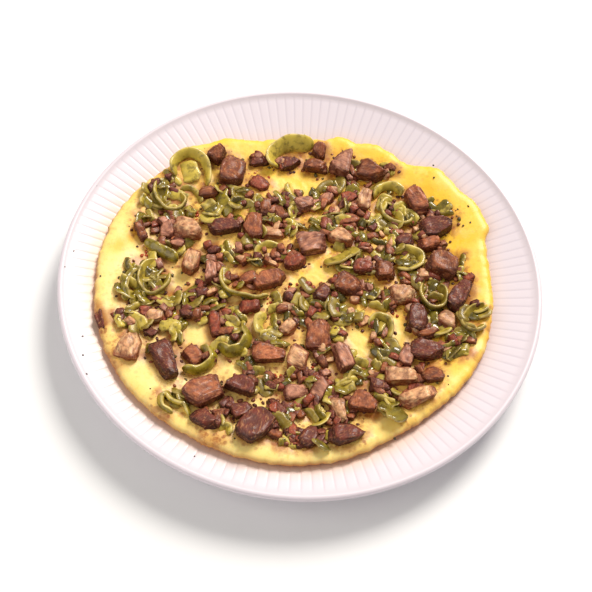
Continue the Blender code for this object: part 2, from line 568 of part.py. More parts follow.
def drop_scraps(mesh):
    """Keeps the largest connected body of a mesh and drops the loose rest."""
    bm = bmesh.new()
    bm.from_mesh(mesh)
    unseen = set(bm.verts)
    bodies = []
    while unseen:
        body, edge = set(), {next(iter(unseen))}
        while edge:
            body |= edge
            edge = {e.other_vert(v) for v in edge for e in v.link_edges} - body
        unseen -= body
        bodies.append(body)
    bodies.sort(key=len)
    for scrap in bodies[:-1]:
        print("scrap dropped, points:", len(scrap))
        bmesh.ops.delete(bm, geom=list(scrap), context="VERTS")
    bm.to_mesh(mesh)
    bm.free()


def fuse_small(egg, ground, laid):
    """Joins the small bits of meat and pepper to the omelette that they are stuck in."""
    bits = new_collection("small_bits")
    skipped = 0
    for number, row in enumerate(MEAT_SMALL, 1):
        bm = laid_clear(lambda share, nudge: meat_at(row, share, nudge, 1, SMALL_SEED + number),
                        ground, laid, -SMALL_SUNK)
        if bm is None:
            skipped += 1
            continue
        laid.append(BVHTree.FromBMesh(bm))
        placed(f"small_meat_{number:02d}", bm, bits, "meat_" + row[8])
    for number, row in enumerate(PEPPER_SMALL, 1):
        bm = laid_clear(lambda share, nudge: pepper_at(row, share, nudge, SMALL_STRIP_STEPS, 1),
                        ground, laid, -SMALL_SUNK)
        if bm is None:
            skipped += 1
            continue
        laid.append(BVHTree.FromBMesh(bm))
        placed(f"small_pepper_{number:02d}", bm, bits, "pepper")
    print("small bits joined:", len(bits.objects), "left out for want of room:", skipped)
    union = egg.modifiers.new("bits", "BOOLEAN")
    union.operation = "UNION"
    union.operand_type = "COLLECTION"
    union.collection = bits
    union.solver = "EXACT"
    union.material_mode = "TRANSFER"
    joined = applied_mesh(egg)
    egg.modifiers.clear()
    drop_scraps(joined)
    egg.data = joined
    for bit in list(bits.objects):
        bpy.data.objects.remove(bit, do_unlink=True)
    bpy.data.collections.remove(bits)


def main():
    clear_scene()
    collection = new_collection("topped_omelette")
    build_plate(collection)
    egg = build_egg(collection)
    surface = bmesh.new()
    surface.from_mesh(egg.data)
    ground = BVHTree.FromBMesh(surface)
    surface.free()
    laid = lay_toppings(collection, ground)
    fuse_small(egg, ground, laid)
    egg.data.shade_smooth()
    egg.data.set_sharp_from_angle(angle=math.radians(SHARP_ANGLE))


main()
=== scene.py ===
import functools
import math
import random

import bmesh
import bpy
import numpy as np
from mathutils import Matrix, Vector, noise


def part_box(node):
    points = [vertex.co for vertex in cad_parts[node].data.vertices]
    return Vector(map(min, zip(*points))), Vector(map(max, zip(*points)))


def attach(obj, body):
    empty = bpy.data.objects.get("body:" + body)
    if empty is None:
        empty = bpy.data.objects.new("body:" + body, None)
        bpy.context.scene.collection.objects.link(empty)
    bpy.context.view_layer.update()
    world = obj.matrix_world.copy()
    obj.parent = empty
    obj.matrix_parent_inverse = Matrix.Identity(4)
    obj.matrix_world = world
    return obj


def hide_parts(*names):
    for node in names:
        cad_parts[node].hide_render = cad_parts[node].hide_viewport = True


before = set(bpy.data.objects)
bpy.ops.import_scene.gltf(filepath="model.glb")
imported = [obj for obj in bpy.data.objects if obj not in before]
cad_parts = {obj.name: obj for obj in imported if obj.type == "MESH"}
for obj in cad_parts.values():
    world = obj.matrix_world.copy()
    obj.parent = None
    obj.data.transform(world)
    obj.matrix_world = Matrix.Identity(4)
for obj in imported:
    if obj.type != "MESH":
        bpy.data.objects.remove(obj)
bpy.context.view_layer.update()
mm = 0.001
fullTurn = 2 * math.pi
print("frame loaded with", len(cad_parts), "nodes")


class Wire:
    # an output socket that can stand in ordinary sums
    def __init__(self, paint, socket):
        self.paint = paint
        self.socket = socket

    def combine(self, operation, first, second):
        return self.paint.node("ShaderNodeMath", {"operation": operation}, {0: first, 1: second})

    def __add__(self, other):
        return self.combine("ADD", self, other)

    def __sub__(self, other):
        return self.combine("SUBTRACT", self, other)

    def __rsub__(self, other):
        return self.combine("SUBTRACT", other, self)

    def __mul__(self, other):
        return self.combine("MULTIPLY", self, other)

    __radd__ = __add__
    __rmul__ = __mul__


class Paint:
    # one Principled material, with short ways to add nodes to it
    def __init__(self, name, fixed):
        self.material = bpy.data.materials.new(name)
        self.material.use_nodes = True
        self.tree = self.material.node_tree
        self.shader = self.tree.nodes["Principled BSDF"]
        self.set(fixed)

    def feed(self, socket, value):
        if isinstance(value, Wire):
            self.tree.links.new(value.socket, socket)
        elif socket.type == "RGBA":
            socket.default_value = (*value, 1)
        else:
            socket.default_value = value

    def node(self, kind, settings, sockets, out=0):
        made = self.tree.nodes.new(kind)
        for key, value in settings.items():
            setattr(made, key, value)
        usable = [socket for socket in made.inputs if socket.enabled]
        for key, value in sockets.items():
            socket = usable[key] if isinstance(key, int) else next(s for s in usable if s.name == key)
            self.feed(socket, value)
        return Wire(self, [socket for socket in made.outputs if socket.enabled][out])

    def set(self, values):
        for key, value in values.items():
            self.feed(self.shader.inputs[key], value)

    def attribute(self, name, out=0):
        return self.node("ShaderNodeAttribute", {"attribute_name": name}, {}, out)

    def place(self):
        return self.node("ShaderNodeTexCoord", {}, {}, 3)

    def noise(self, where, scale, detail=2, roughness=0.5):
        sockets = {"Vector": where, "Scale": scale, "Detail": detail, "Roughness": roughness}
        return self.node("ShaderNodeTexNoise", {}, sockets)

    def cells(self, where, scale):
        return self.node("ShaderNodeTexVoronoi", {}, {"Vector": where, "Scale": scale})

    def rise(self, value, low, high):
        # 0 below low, 1 above high, smooth between
        sockets = {"Value": value, "From Min": low, "From Max": high}
        return self.node("ShaderNodeMapRange", {"interpolation_type": "SMOOTHSTEP"}, sockets)

    def mix(self, share, first, second, blend="MIX"):
        settings = {"data_type": "RGBA", "blend_type": blend}
        return self.node("ShaderNodeMix", settings, {"Factor": share, "A": first, "B": second})

    def bump(self, height, distance, strength=1.0):
        sockets = {"Strength": strength, "Distance": distance, "Height": height}
        return self.node("ShaderNodeBump", {}, sockets)


def softPaint(name, coatRoughness, softness, reach):
    # food that light enters a little; reach is how far red, green and blue go in, millimetres
    paint = Paint(name, {"IOR": 1.45, "Coat Roughness": coatRoughness, "Subsurface Weight": softness})
    paint.set({"Subsurface Radius": [far * mm for far in reach], "Subsurface Scale": 1.0})
    return paint


def linear(red, green, blue):
    # a screen colour, 0 to 255, as the linear values that materials take
    shares = (red / 255, green / 255, blue / 255)
    return tuple(c / 12.92 if c < 0.04 else ((c + 0.055) / 1.055) ** 2.4 for c in shares)


def rise(value, low, high):
    share = np.clip((value - low) / (high - low), 0, 1)
    return share * share * (3 - 2 * share)


def blendColours(share, first, second):
    share = np.asarray(share)[..., None]
    return np.asarray(first) * (1 - share) + np.asarray(second) * share


def signedPower(values, power):
    return np.sign(values) * np.abs(values) ** power


def turned(points, angle, x=0, y=0):
    # x and y of the points, turned about the upright and moved to a place
    across, along = points[:, 0], points[:, 1]
    return (across * math.cos(angle) - along * math.sin(angle) + x,
            across * math.sin(angle) + along * math.cos(angle) + y)


def noiseAt(points, size, shift=0.0):
    # soft noise from about -1 to 1, with lumps about as wide as size
    offset = Vector((shift, 2.7 * shift, -1.3 * shift))
    return np.array([noise.noise(Vector(p) / size + offset) for p in points])


def smoothBetween(p0, p1, p2, p3, t):
    # a smooth curve through the points, at share t of the way from p1 to p2
    return 0.5 * (2 * p1 + (p2 - p0) * t + (2 * p0 - 5 * p1 + 4 * p2 - p3) * t**2
                  + (3 * p1 - p0 - 3 * p2 + p3) * t**3)


def curveThrough(points, share):
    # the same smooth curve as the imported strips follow, at shares 0 to 1 of its run
    points = np.asarray(points, float)
    spans = len(points) - 1
    place = np.clip(np.asarray(share, float), 0, 1) * spans
    index = np.minimum(place.astype(int), spans - 1)
    t = (place - index)[:, None]
    ends = np.vstack([2 * points[0] - points[1], points, 2 * points[-1] - points[-2]])
    return smoothBetween(*[ends[index + step] for step in range(4)], t)


def makePiece(name, points, faces, paint, nodes=(), looks=None):
    # a smooth mesh that rides with the plate, with its colours and grain stored at its points
    mesh = bpy.data.meshes.new(name)
    mesh.from_pydata(np.asarray(points, float).tolist(), [], faces)
    mesh.materials.append(paint.material)
    mesh.shade_smooth()
    for key, values in (looks or {}).items():
        values = np.asarray(values, np.float32)
        kind = "FLOAT_VECTOR" if values.ndim == 2 else "FLOAT"
        layer = mesh.attributes.new(key, kind, "POINT")
        layer.data.foreach_set("vector" if values.ndim == 2 else "value", values.ravel())
    piece = bpy.data.objects.new(name, mesh)
    bpy.context.scene.collection.objects.link(piece)
    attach(piece, "root")
    if nodes:
        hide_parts(*nodes)


def ringFaces(rings, around):
    # quads between closed rings of points, plus a fan at each end to the two last points
    faces = []
    for ring in range(rings - 1):
        for step in range(around):
            after = (step + 1) % around
            a, b = ring * around + step, ring * around + after
            faces.append((a, a + around, b + around, b))
    first, last = rings * around, rings * around + 1
    top = (rings - 1) * around
    for step in range(around):
        after = (step + 1) % around
        faces.append((first, step, after))
        faces.append((top + step, last, top + after))
    return faces


# Camera and light

photoView = {
    "imageWidth": 592,  # pixels
    "focalLength": 931,  # in the same pixels
    "distance": 0.5011,  # metres, as is the target
    "elevation": 58.11,  # degrees above the table
    "roll": 5.0,
    "target": (-0.00205, -0.01883, 0.022),
}


def makeCamera(view):
    pitch, roll = math.radians(view["elevation"]), math.radians(view["roll"])
    away = Vector((0, -math.cos(pitch), math.sin(pitch)))
    flat, upright = Vector((1, 0, 0)), Vector((0, math.sin(pitch), math.cos(pitch)))
    right = math.cos(roll) * flat + math.sin(roll) * upright
    up = -math.sin(roll) * flat + math.cos(roll) * upright
    camera = bpy.data.objects.new("camera", bpy.data.cameras.new("camera"))
    camera.data.lens = view["focalLength"] / view["imageWidth"] * camera.data.sensor_width
    place = Vector(view["target"]) + view["distance"] * away
    turn = Matrix((right, up, away)).transposed()
    camera.matrix_world = Matrix.Translation(place) @ turn.to_4x4()
    bpy.context.scene.collection.objects.link(camera)
    bpy.context.scene.camera = camera


makeCamera(photoView)

studio = {
    "key": {"place": (0.9, 1.7, 1.9), "size": 1.2, "watts": 83, "colour": (1.0, 0.94, 0.86)},
    "fill": {"place": (-0.9, -0.5, 1.0), "size": 1.4, "watts": 7, "colour": (1.0, 0.94, 0.86)},
    "sky": (1.0, 0.955, 0.905),
    "skyStrength": 0.36,
    "floor": (0.91, 0.925, 0.95),
}


def makeStudio(values):
    for name in ("key", "fill"):
        light = values[name]
        lamp = bpy.data.lights.new(name, "AREA")
        lamp.shape = "DISK"
        lamp.size = light["size"]
        lamp.energy = light["watts"]
        lamp.color = light["colour"]
        holder = bpy.data.objects.new(name, lamp)
        holder.location = light["place"]
        holder.rotation_euler = Vector(light["place"]).to_track_quat("Z", "Y").to_euler()
        bpy.context.scene.collection.objects.link(holder)
    world = bpy.data.worlds.new("room")
    world.use_nodes = True
    sky = world.node_tree.nodes["Background"]
    sky.inputs["Color"].default_value = (*values["sky"], 1)
    sky.inputs["Strength"].default_value = values["skyStrength"]
    bpy.context.scene.world = world
    bpy.context.scene.view_settings.view_transform = "Standard"
    floorPaint = Paint("floorPaint", {"Base Color": values["floor"], "Roughness": 0.9})
    bpy.ops.mesh.primitive_plane_add(size=8, location=(0, 0, 0))
    floor = bpy.context.object
    floor.name = "floor"
    floor.data.materials.append(floorPaint.material)


makeStudio(studio)
print("camera and light set")

# Plate

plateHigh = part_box("plate")[1]
plate = {
    "radius": plateHigh.x,
    "height": plateHigh.z,
    "wellHeight": 7.5 * mm,
    "wellRadius": 76 * mm,
    "bendWidth": 16 * mm,
    "rimThickness": 3.6 * mm,
    "floorThickness": 4.8 * mm,
    "footRadius": 80 * mm,
    "footWidth": 5 * mm,
    "footDepth": 2.6 * mm,
    "ribs": 142,
    # across one rib: place in the rib, share of the groove's depth there
    "rib": ((0, 1), (0.07, 0.55), (0.14, 0.08), (0.3, 0), (0.5, 0), (0.7, 0), (0.86, 0.08), (0.93, 0.55)),
    "grooveDepth": 0.1 * mm,
    "grooveStart": 50 * mm,
    "grooveEnd": 129 * mm,
    "grooveFade": (12 * mm, 2.5 * mm),  # length of the fade at the start and at the end
    "clay": linear(228, 219, 229),
    "cloud": linear(221, 210, 218),
    # painted shade darkening the plate's grooves
    "grooveShade": linear(200, 191, 203),
    # painted warm shade: the omelette's warm shadow and bounced light on the plate beside it
    "warmShade": linear(232, 196, 162),
    "warmShadeReach": 12 * mm,  # how far the painted warm shade shows past the omelette
}
rimStart = plate["radius"] - plate["rimThickness"]
rimRise = plate["height"] - plate["rimThickness"] / 3 - plate["wellHeight"]
rimSlope = rimRise / (rimStart - plate["wellRadius"] - plate["bendWidth"] / 2)


def plateTop(radius):
    past = np.maximum(np.asarray(radius, float) - plate["wellRadius"], 0)
    bend = plate["bendWidth"]
    curved = rimSlope * past**2 / (2 * bend)
    return plate["wellHeight"] + np.where(past < bend, curved, rimSlope * (past - bend / 2))


def plateSection(p):
    # radius and height from the middle of the well over the rim and back below
    upper = list(np.linspace(8 * mm, p["wellRadius"], 7))
    upper += list(np.linspace(p["wellRadius"], rimStart, 18)[1:])
    section = [(radius, float(plateTop(radius))) for radius in upper]
    bead = p["rimThickness"] / 2
    for angle in (125, 105, 85, 62, 38, 12, -14, -40, -66, -90):
        turn = math.radians(angle)
        out, up = bead * math.cos(turn), bead * math.sin(turn)
        section.append((p["radius"] - bead + out, p["height"] - bead + up))
    foot, inside = p["footRadius"], p["footRadius"] - p["footWidth"]
    under = p["wellHeight"] - p["floorThickness"]
    for out, up in ((32, 9.2), (12, 2.2), (4, 0.4), (1.2, 0)):
        section.append((foot + out * mm, p["footDepth"] + up * mm))
    section += [(foot, 0.6 * mm), (foot - 0.6 * mm, 0), (inside + 0.6 * mm, 0), (inside, 0.6 * mm)]
    section += [(inside - 1.2 * mm, under), (inside - 3 * mm, under), (20 * mm, under)]
    return section


def buildPlate(p):
    # a turned plate whose upper face carries fine radial grooves
    section = np.array(plateSection(p))
    topPoints = 25  # points of the section up to the start of the bead
    shares = np.array([(n + place) / p["ribs"] for n in range(p["ribs"]) for place, _ in p["rib"]])
    depths = np.tile([depth for _, depth in p["rib"]], p["ribs"])
    angles = fullTurn * shares
    radius, height = section[:, :1], section[:, 1:]
    onTop = (np.arange(len(section)) < topPoints)[:, None]
    fadeIn, fadeOut = p["grooveFade"]
    reach = rise(radius, p["grooveStart"], p["grooveStart"] + fadeIn)
    reach = reach * (1 - rise(radius, p["grooveEnd"] - fadeOut, p["grooveEnd"])) * onTop
    cut = reach * depths
    x, y = radius * np.cos(angles), radius * np.sin(angles)
    z = height - cut * p["grooveDepth"]
    points = np.stack([x, y, z], axis=-1).reshape(-1, 3)
    ends = [(0, 0, p["wellHeight"]), (0, 0, p["wellHeight"] - p["floorThickness"])]
    cut = np.append(cut.ravel(), (0, 0))
    # painted shade: a warm tint on the plate next to the omelette's edge, standing for its shadow and
    # bounced light
    warmShade = 1 - rise(radius - eggRadius(angles), 0, p["warmShadeReach"])
    warmShade = warmShade * (0.25 + 0.75 * rise(-(0.6 * x + 0.8 * y) / mm, -20, 70)) * onTop  # painted warm shade, most at the lower left where the omelette's shadow falls
    warmShade = np.append(warmShade.ravel(), (0, 0))
    faces = ringFaces(len(section), len(angles))
    makePiece("ribbedPlate", np.vstack([points, ends]), faces, porcelainPaint(p),
              ["plate"], {"cut": cut, "warmShade": warmShade})


def porcelainPaint(p):
    paint = Paint("porcelain", {"IOR": 1.5, "Coat Roughness": 0.2})
    where = paint.place()
    cut = paint.attribute("cut", 2)
    cloud = paint.noise(where, 22, 3)
    body = paint.mix(cloud * 0.35, p["clay"], p["cloud"])
    # painted shade in the grooves, as deep as each groove is cut
    colour = paint.mix(cut * 0.5, body, p["grooveShade"])
    # painted warm shade beside the omelette
    colour = paint.mix(paint.attribute("warmShade", 2) * (0.65 + cloud * 0.4), colour, p["warmShade"])
    speck = paint.noise(where, 900, 1)
    paint.set({
        "Base Color": colour,
        "Coat Weight": 0.2,
        "Roughness": 0.34 + cloud * 0.1,
        "Normal": paint.bump(speck, 0.02 * mm, 0.3),
    })
    return paint


# Omelette

omelette = {
    "thickness": 7 * mm,
    "wave": 0.5 * mm,
    "swells": (19 * mm, 23 * mm, 13 * mm),
    "gap": 0.4 * mm,  # above the plate
    "around": 560,
    # outline from above, millimetres, anticlockwise from the right side
    "outline": (
        (106, -6), (105.5, 8), (104, 21), (103, 31), (105, 39), (102, 49), (97, 58), (89, 66), (81, 76),
        (74, 81.5), (64, 83), (56, 86), (48, 92), (38, 97), (27, 98), (17, 101.5), (8, 99), (-3, 98),
        (-15, 96.5), (-26, 95.5), (-35, 93), (-44, 93), (-54, 91), (-63, 86), (-72, 82), (-79, 76),
        (-83, 67), (-90, 59), (-98, 48), (-106, 33), (-112, 4), (-109, -29), (-98, -56), (-80, -80),
        (-53, -99), (-19, -110.5), (18, -109.5), (54, -93), (83, -69), (100, -41),
    ),
    # section from the middle over the edge to the underside: share of the radius, of the thickness
    "edge": ((0.90, 1.0), (0.955, 0.93), (0.985, 0.74), (1.0, 0.42), (0.985, 0.14), (0.94, 0.0)),
    "dimples": 0.35 * mm,
    "grain": 0.10 * mm,
    "ragged": 0.9 * mm,
    "spread": 3 * mm,  # how much farther the edge runs out at the lower left
    "spreadTowards": 248,  # degrees
    "swellByTopping": 0.55 * mm,
    "yellow": linear(255, 204, 50),
    "deep": linear(248, 182, 40),
    "cream": linear(255, 232, 150),
    # brown of the edge crust, also carrying painted shade at the front
    "brown": linear(190, 118, 54),
    # stain, burnt and juice darken the egg beside the toppings: partly fat stain, partly painted shade
    # between the pieces
    "stainAndShade": linear(216, 138, 34),
    "burntAndShade": linear(146, 72, 20),
    "fleck": linear(146, 74, 28),
    "juiceAndShade": linear(164, 82, 20),
    "creasePlace": (-97, 14),  # middle of the yellow crease at the left, millimetres
    "creaseWay": (0.447, 0.894),
    "creaseWidth": 3.2,
    "creaseReach": (10, 19),  # where it starts to fade, and where it ends
}
outlinePoints = sorted((math.atan2(y, x) % fullTurn, math.hypot(x, y) * mm) for x, y in omelette["outline"])
outlineAngles, outlineRadii = np.array(outlinePoints).T


def eggRadius(angle):
    angle = np.mod(angle, fullTurn)
    after = np.searchsorted(outlineAngles, angle, side="right")
    near = [(after + step) % len(outlineAngles) for step in (-2, -1, 0, 1)]
    start, end = outlineAngles[near[1]], outlineAngles[near[2]]
    t = np.mod(angle - start, fullTurn) / np.mod(end - start, fullTurn)
    return smoothBetween(*[outlineRadii[i] for i in near], t)


def eggThickness(x, y):
    wide, deep, slant = omelette["swells"]
    swell = np.sin(x / wide + 1) * np.cos(y / deep) + 0.8 * np.sin((x - y) / slant + 2)
    return omelette["thickness"] + omelette["wave"] * swell


def eggTop(x, y):
    # height of the omelette's upper face, for what lies on it
    radius = np.hypot(x, y)
    share = radius / eggRadius(np.arctan2(y, x))
    shares, levels = zip(*omelette["edge"][:4])
    level = np.interp(share, shares, levels)
    return plateTop(radius) + omelette["gap"] + level * eggThickness(x, y)


# Toppings: where each piece lies, in millimetres

# meat: x, y, length, width, height, turn in degrees, squareness, narrowing to one end, tone
largeMeat = (
    (-45.5, 66.5, 21, 15.5, 7.2, 82, 5, 0.1, "brown"),
    (-54.5, 74.5, 13, 12, 6.8, 70, 4, 0.1, "brown"),
    (3, 76, 15, 10.5, 6.3, -12, 3.5, 0.2, "brown"),
    (17.5, 79.5, 19.5, 17, 8.2, 75, 4, 0.25, "lilac"),
    (35, 75, 19, 15, 7, -18, 4, 0.2, "brown"),
    (34, 55.1, 17.5, 12, 6.3, 80, 4.5, 0.15, "tan"),
    (-2, 46.6, 12, 11, 6.3, 20, 3.5, 0.1, "lilac"),
    (62, 54.6, 17.5, 11, 6.8, -62, 5.5, 0.1, "pink"),
    (74.5, 37.9, 19, 15, 7.2, 4, 4.5, 0.1, "dark"),
    (70, 25.9, 16, 10, 6.8, 14, 4, 0.15, "pink"),
    (46, 5.5, 12, 12, 6.8, 5, 4.5, 0.1, "brown"),
    (32.5, 7.5, 11.5, 11, 6.8, -8, 4, 0.15, "red"),
    (77, 12, 16, 15.5, 8.4, -26, 5.5, 0.05, "brown"),
    (86.5, -8, 25, 12, 7.8, 66, 5, 0.15, "dark"),
    (55.5, -10, 15, 13, 6.8, 8, 4, 0.1, "tan"),
    (65.5, -23.5, 17, 13, 6.8, 100, 4, 0.15, "dark"),
    (69, -42.5, 19, 12.5, 6.8, -8, 2.8, 0, "dark"),
    (-66, 21.5, 16, 15, 7.2, -6, 4.5, 0.15, "tan"),
    (-61, 0, 15.5, 10, 7.2, 84, 4.5, 0.1, "tan"),
    (-45.5, 26.4, 18.5, 10, 6.3, 16, 3.5, 0.2, "dark"),
    (-50, -4.5, 16.5, 8.5, 6.8, 100, 4, 0.2, "lilac"),
    (-31, 28.7, 19.5, 13.5, 6.8, 92, 4, 0.15, "pink"),
    (4, 19, 17, 16, 6.8, 12, 5, 0.15, "lilac"),
    (20.5, 24.9, 15, 11, 6.8, -18, 4, 0.2, "tan"),
    (-17, -7, 17.5, 12, 6.8, 26, 3.2, 0.1, "pink"),
    (26.5, -6.5, 15.5, 14, 6.8, -22, 5, 0.15, "brown"),
    (11.5, -39.5, 18.5, 15, 7.2, 92, 3.6, 0.1, "pink"),
    (-15, -53, 18, 13.5, 6.1, -6, 4.5, 0.25, "pink"),
    (2, -53, 17, 13.5, 6.3, 80, 4, 0.1, "tan"),
    (-26, -72.5, 17.5, 10.5, 6.3, -18, 4, 0.1, "dark"),
    (-15, -95.5, 20.5, 17, 7.2, 48, 4.5, 0.1, "dark"),
    (28.5, -96, 19, 13.5, 6.8, 14, 4, 0.2, "dark"),
    (25, -50.5, 19, 10.5, 7.2, 112, 3.6, 0.1, "lilac"),
    (56, -59.5, 18, 11, 6.3, 4, 4.5, 0.15, "tan"),
    (64, -72, 20.5, 10, 6.8, 30, 4, 0.1, "tan"),
    (37.5, -78, 16, 13.5, 7.2, -14, 4.5, 0.2, "pink"),
    (-86.5, -59, 19, 16.5, 5, 78, 5.5, 0.2, "tan"),
    (-65.5, -63, 24, 13, 7.2, -64, 5, 0.1, "dark"),
    (-43, -79, 21, 16.5, 7.8, 34, 5, 0.1, "pink"),
    (-90.5, 15, 18.5, 7, 6.5, -62, 3.2, 0, "brown"),
)
smallMeat = (
    (-59, 49.4, 13.5, 7, 5.5, 15, 2.8, 0, "brown"), (-31, 75.5, 13, 6, 5, 12, 3, 0.1, "dark"),
    (-12, 76.5, 13, 9.5, 6.1, 14, 3.2, 0.1, "dark"), (4.5, 88, 10.5, 9, 6.3, 80, 3.5, 0.1, "brown"),
    (23.5, 54.6, 11, 9.5, 6.3, 30, 4, 0.2, "red"), (10.5, 53.1, 9.5, 7, 5.5, 10, 3, 0, "lilac"),
    (-29, 60, 14, 10, 4, -30, 3, 0.1, "red"), (-24, 42.9, 13, 7.5, 5.9, 92, 3.6, 0.1, "brown"),
    (-15.5, 40.2, 12, 6.5, 5.7, 110, 3.6, 0.1, "brown"),
    (25.5, 38.4, 13.5, 8.5, 5.9, 8, 2.6, 0, "pink"), (56.5, 27.8, 13, 9, 6.1, 8, 4, 0.1, "dark"),
    (67, 5.5, 8.5, 7.5, 5.5, 10, 2.6, 0, "tan"), (70, -32, 13, 7, 6.1, 22, 3.5, 0.1, "brown"),
    (81.5, -23.5, 13, 10, 5.9, -40, 3.8, 0.1, "tan"), (-77.5, 21, 13, 9.5, 6.1, 90, 3.6, 0.1, "lilac"),
    (-76, -36, 11, 9.5, 5.9, 20, 3.6, 0.1, "tan"), (-44, -37, 17, 7, 5.9, -76, 3.6, 0.1, "red"),
    (-18.5, 24.4, 14, 8.5, 5.9, 0, 4, 0.25, "tan"), (-4, 6, 13, 10, 6.1, 20, 3.5, 0.1, "red"),
    (-29, -7, 12, 7.5, 5.9, 22, 2.8, 0, "pink"), (12.5, -12.5, 11.5, 10, 6.6, 70, 4, 0.15, "dark"),
    (-26.5, -25, 11.5, 9.5, 6.1, 10, 4, 0.2, "red"), (-4.5, -35.5, 11, 9, 5.7, 60, 3.6, 0.1, "tan"),
    (-25, -87.5, 13, 10.5, 6.3, 20, 3.8, 0.15, "dark"),
    (-41.5, -95.5, 14.5, 10.5, 6.1, -34, 4, 0.15, "dark"),
    (-6.5, -83.5, 15, 5.5, 5.7, -44, 3.5, 0.1, "dark"), (2, -73.5, 13, 9.5, 5, 10, 4, 0.15, "lilac"),
    (14.5, -71, 13.5, 10, 5.9, 60, 3.8, 0.1, "lilac"), (24.5, -82, 15, 10, 6.6, -70, 4.5, 0.3, "tan"),
    (10.5, -98.5, 14, 9.5, 6.1, 70, 3.6, 0.1, "dark"),
    (59.5, -46.5, 15, 9.5, 6.1, 76, 4.5, 0.1, "lilac"), (72, -58, 11.5, 9, 6.1, 10, 2.8, 0, "brown"),
    (44.5, -65.5, 13, 7.5, 5.7, 0, 3.6, 0.1, "dark"), (-52.5, -58, 12, 10, 5.5, -48, 4.5, 0.1, "pink"),
)
looseMeat = (
    (-84.5, 19.5, 6.5, 5, 4, 30, 3, 0, "brown"), (-14, 8, 6, 5, 4, 10, 3, 0, "red"),
    (17, -61, 6, 5, 4, 40, 3, 0, "lilac"), (31, -84, 6, 5, 4, 70, 3, 0, "brown"),
    (-53, -18.5, 10, 7, 6, 20, 3.6, 0.1, "dark"), (-32.5, 6, 9, 6, 5, 60, 3.2, 0.1, "brown"),
    (2, -96, 9.5, 4.5, 4.5, 10, 3, 0, "dark"), (-77, -46.5, 9, 6, 5, -30, 3.4, 0.1, "dark"),
    (92, 4, 7, 5.5, 5, 25, 3.2, 0, "red"), (47, 79, 8.5, 5, 4.5, -20, 3.2, 0.1, "brown"),
    (-103.5, -44, 14, 5, 3.5, -66, 3, 0.2, "dark"),
)

# pepper: foot line, width of the strip, lean to the left of the line in degrees, how bright a green
largePepper = (
    (((-77.5, 57), (-78.5, 65), (-72.5, 71), (-65, 68.5), (-61.5, 62), (-60.5, 54.5)), 6, 32, 0.85),
    (((-86.5, 51.2), (-85.5, 42.9), (-81, 37), (-76, 36.1), (-72.5, 40.7), (-75.5, 45.7)), 5.2, -26, 0.15),
    (((-18.5, 73.5), (-21, 78), (-18, 83), (-11.5, 86), (-4.5, 86.5), (0, 90)), 9, 40, 0.8),
    (((39.5, 57), (44, 63), (50.5, 63), (54, 59.5)), 5.2, 28, 0.7),
    (((47.5, 54.6), (45, 48), (49, 42.5), (56, 41.6), (59, 45.2)), 4.8, -32, 0.45),
    (((51.5, 18.5), (58.5, 20.5), (64.5, 17.5), (64, 12.5), (59, 9), (53, 9.5)), 5.2, 28, 0.35),
    (((68.5, -1), (68, -8.5), (71.5, -14.5), (76.5, -13), (77, -6), (74.5, -2)), 6, -24, 0.2),
    (((100, -15), (94, -18.5), (90.5, -24.5), (94, -28.5), (98.5, -25.5)), 4.8, -36, 0.25),
    (((39.5, -31.5), (41.5, -27), (46.5, -27), (48.5, -31.5), (48.5, -38)), 5.6, 22, 0.35),
    (((-88.5, 8), (-82, 4.5), (-75.5, 2), (-69.5, 0.5)), 5.8, 56, 0.5),
    (((-79, -2.5), (-83.5, -8), (-84.5, -15.5), (-80, -20.5), (-75, -15.5), (-74, -8)), 6, -30, 0.45),
    (((-91, -7), (-94.5, -14), (-95.5, -22), (-92.5, -29.5)), 5.2, 38, 0.35),
    (((-42, -1), (-41.5, -10), (-37, -15.5), (-30, -17), (-23.5, -18), (-18, -15.5)), 5.6, -24, 0.65),
    (((12, 9.5), (18, 12.5), (24, 16.5), (28, 20.5)), 7, -58, 0.4),
    (((-40.5, -51), (-34, -55.5), (-27, -52.5), (-24, -44.5), (-27.5, -37.5)), 6.4, 34, 0.45),
    (((-57, -67), (-50, -68), (-43.5, -64), (-41, -58), (-44.5, -52)), 5.2, 32, 0.75),
    (((-60, -93.5), (-65.5, -90.5), (-67, -85),
      (-63.5, -82), (-59.5, -85.5), (-54, -87), (-51, -92.5)), 4.8, -24, 0.75),
    (((48, -73.5), (54, -78.5), (59, -84.5)), 10, -62, 0.35),
)
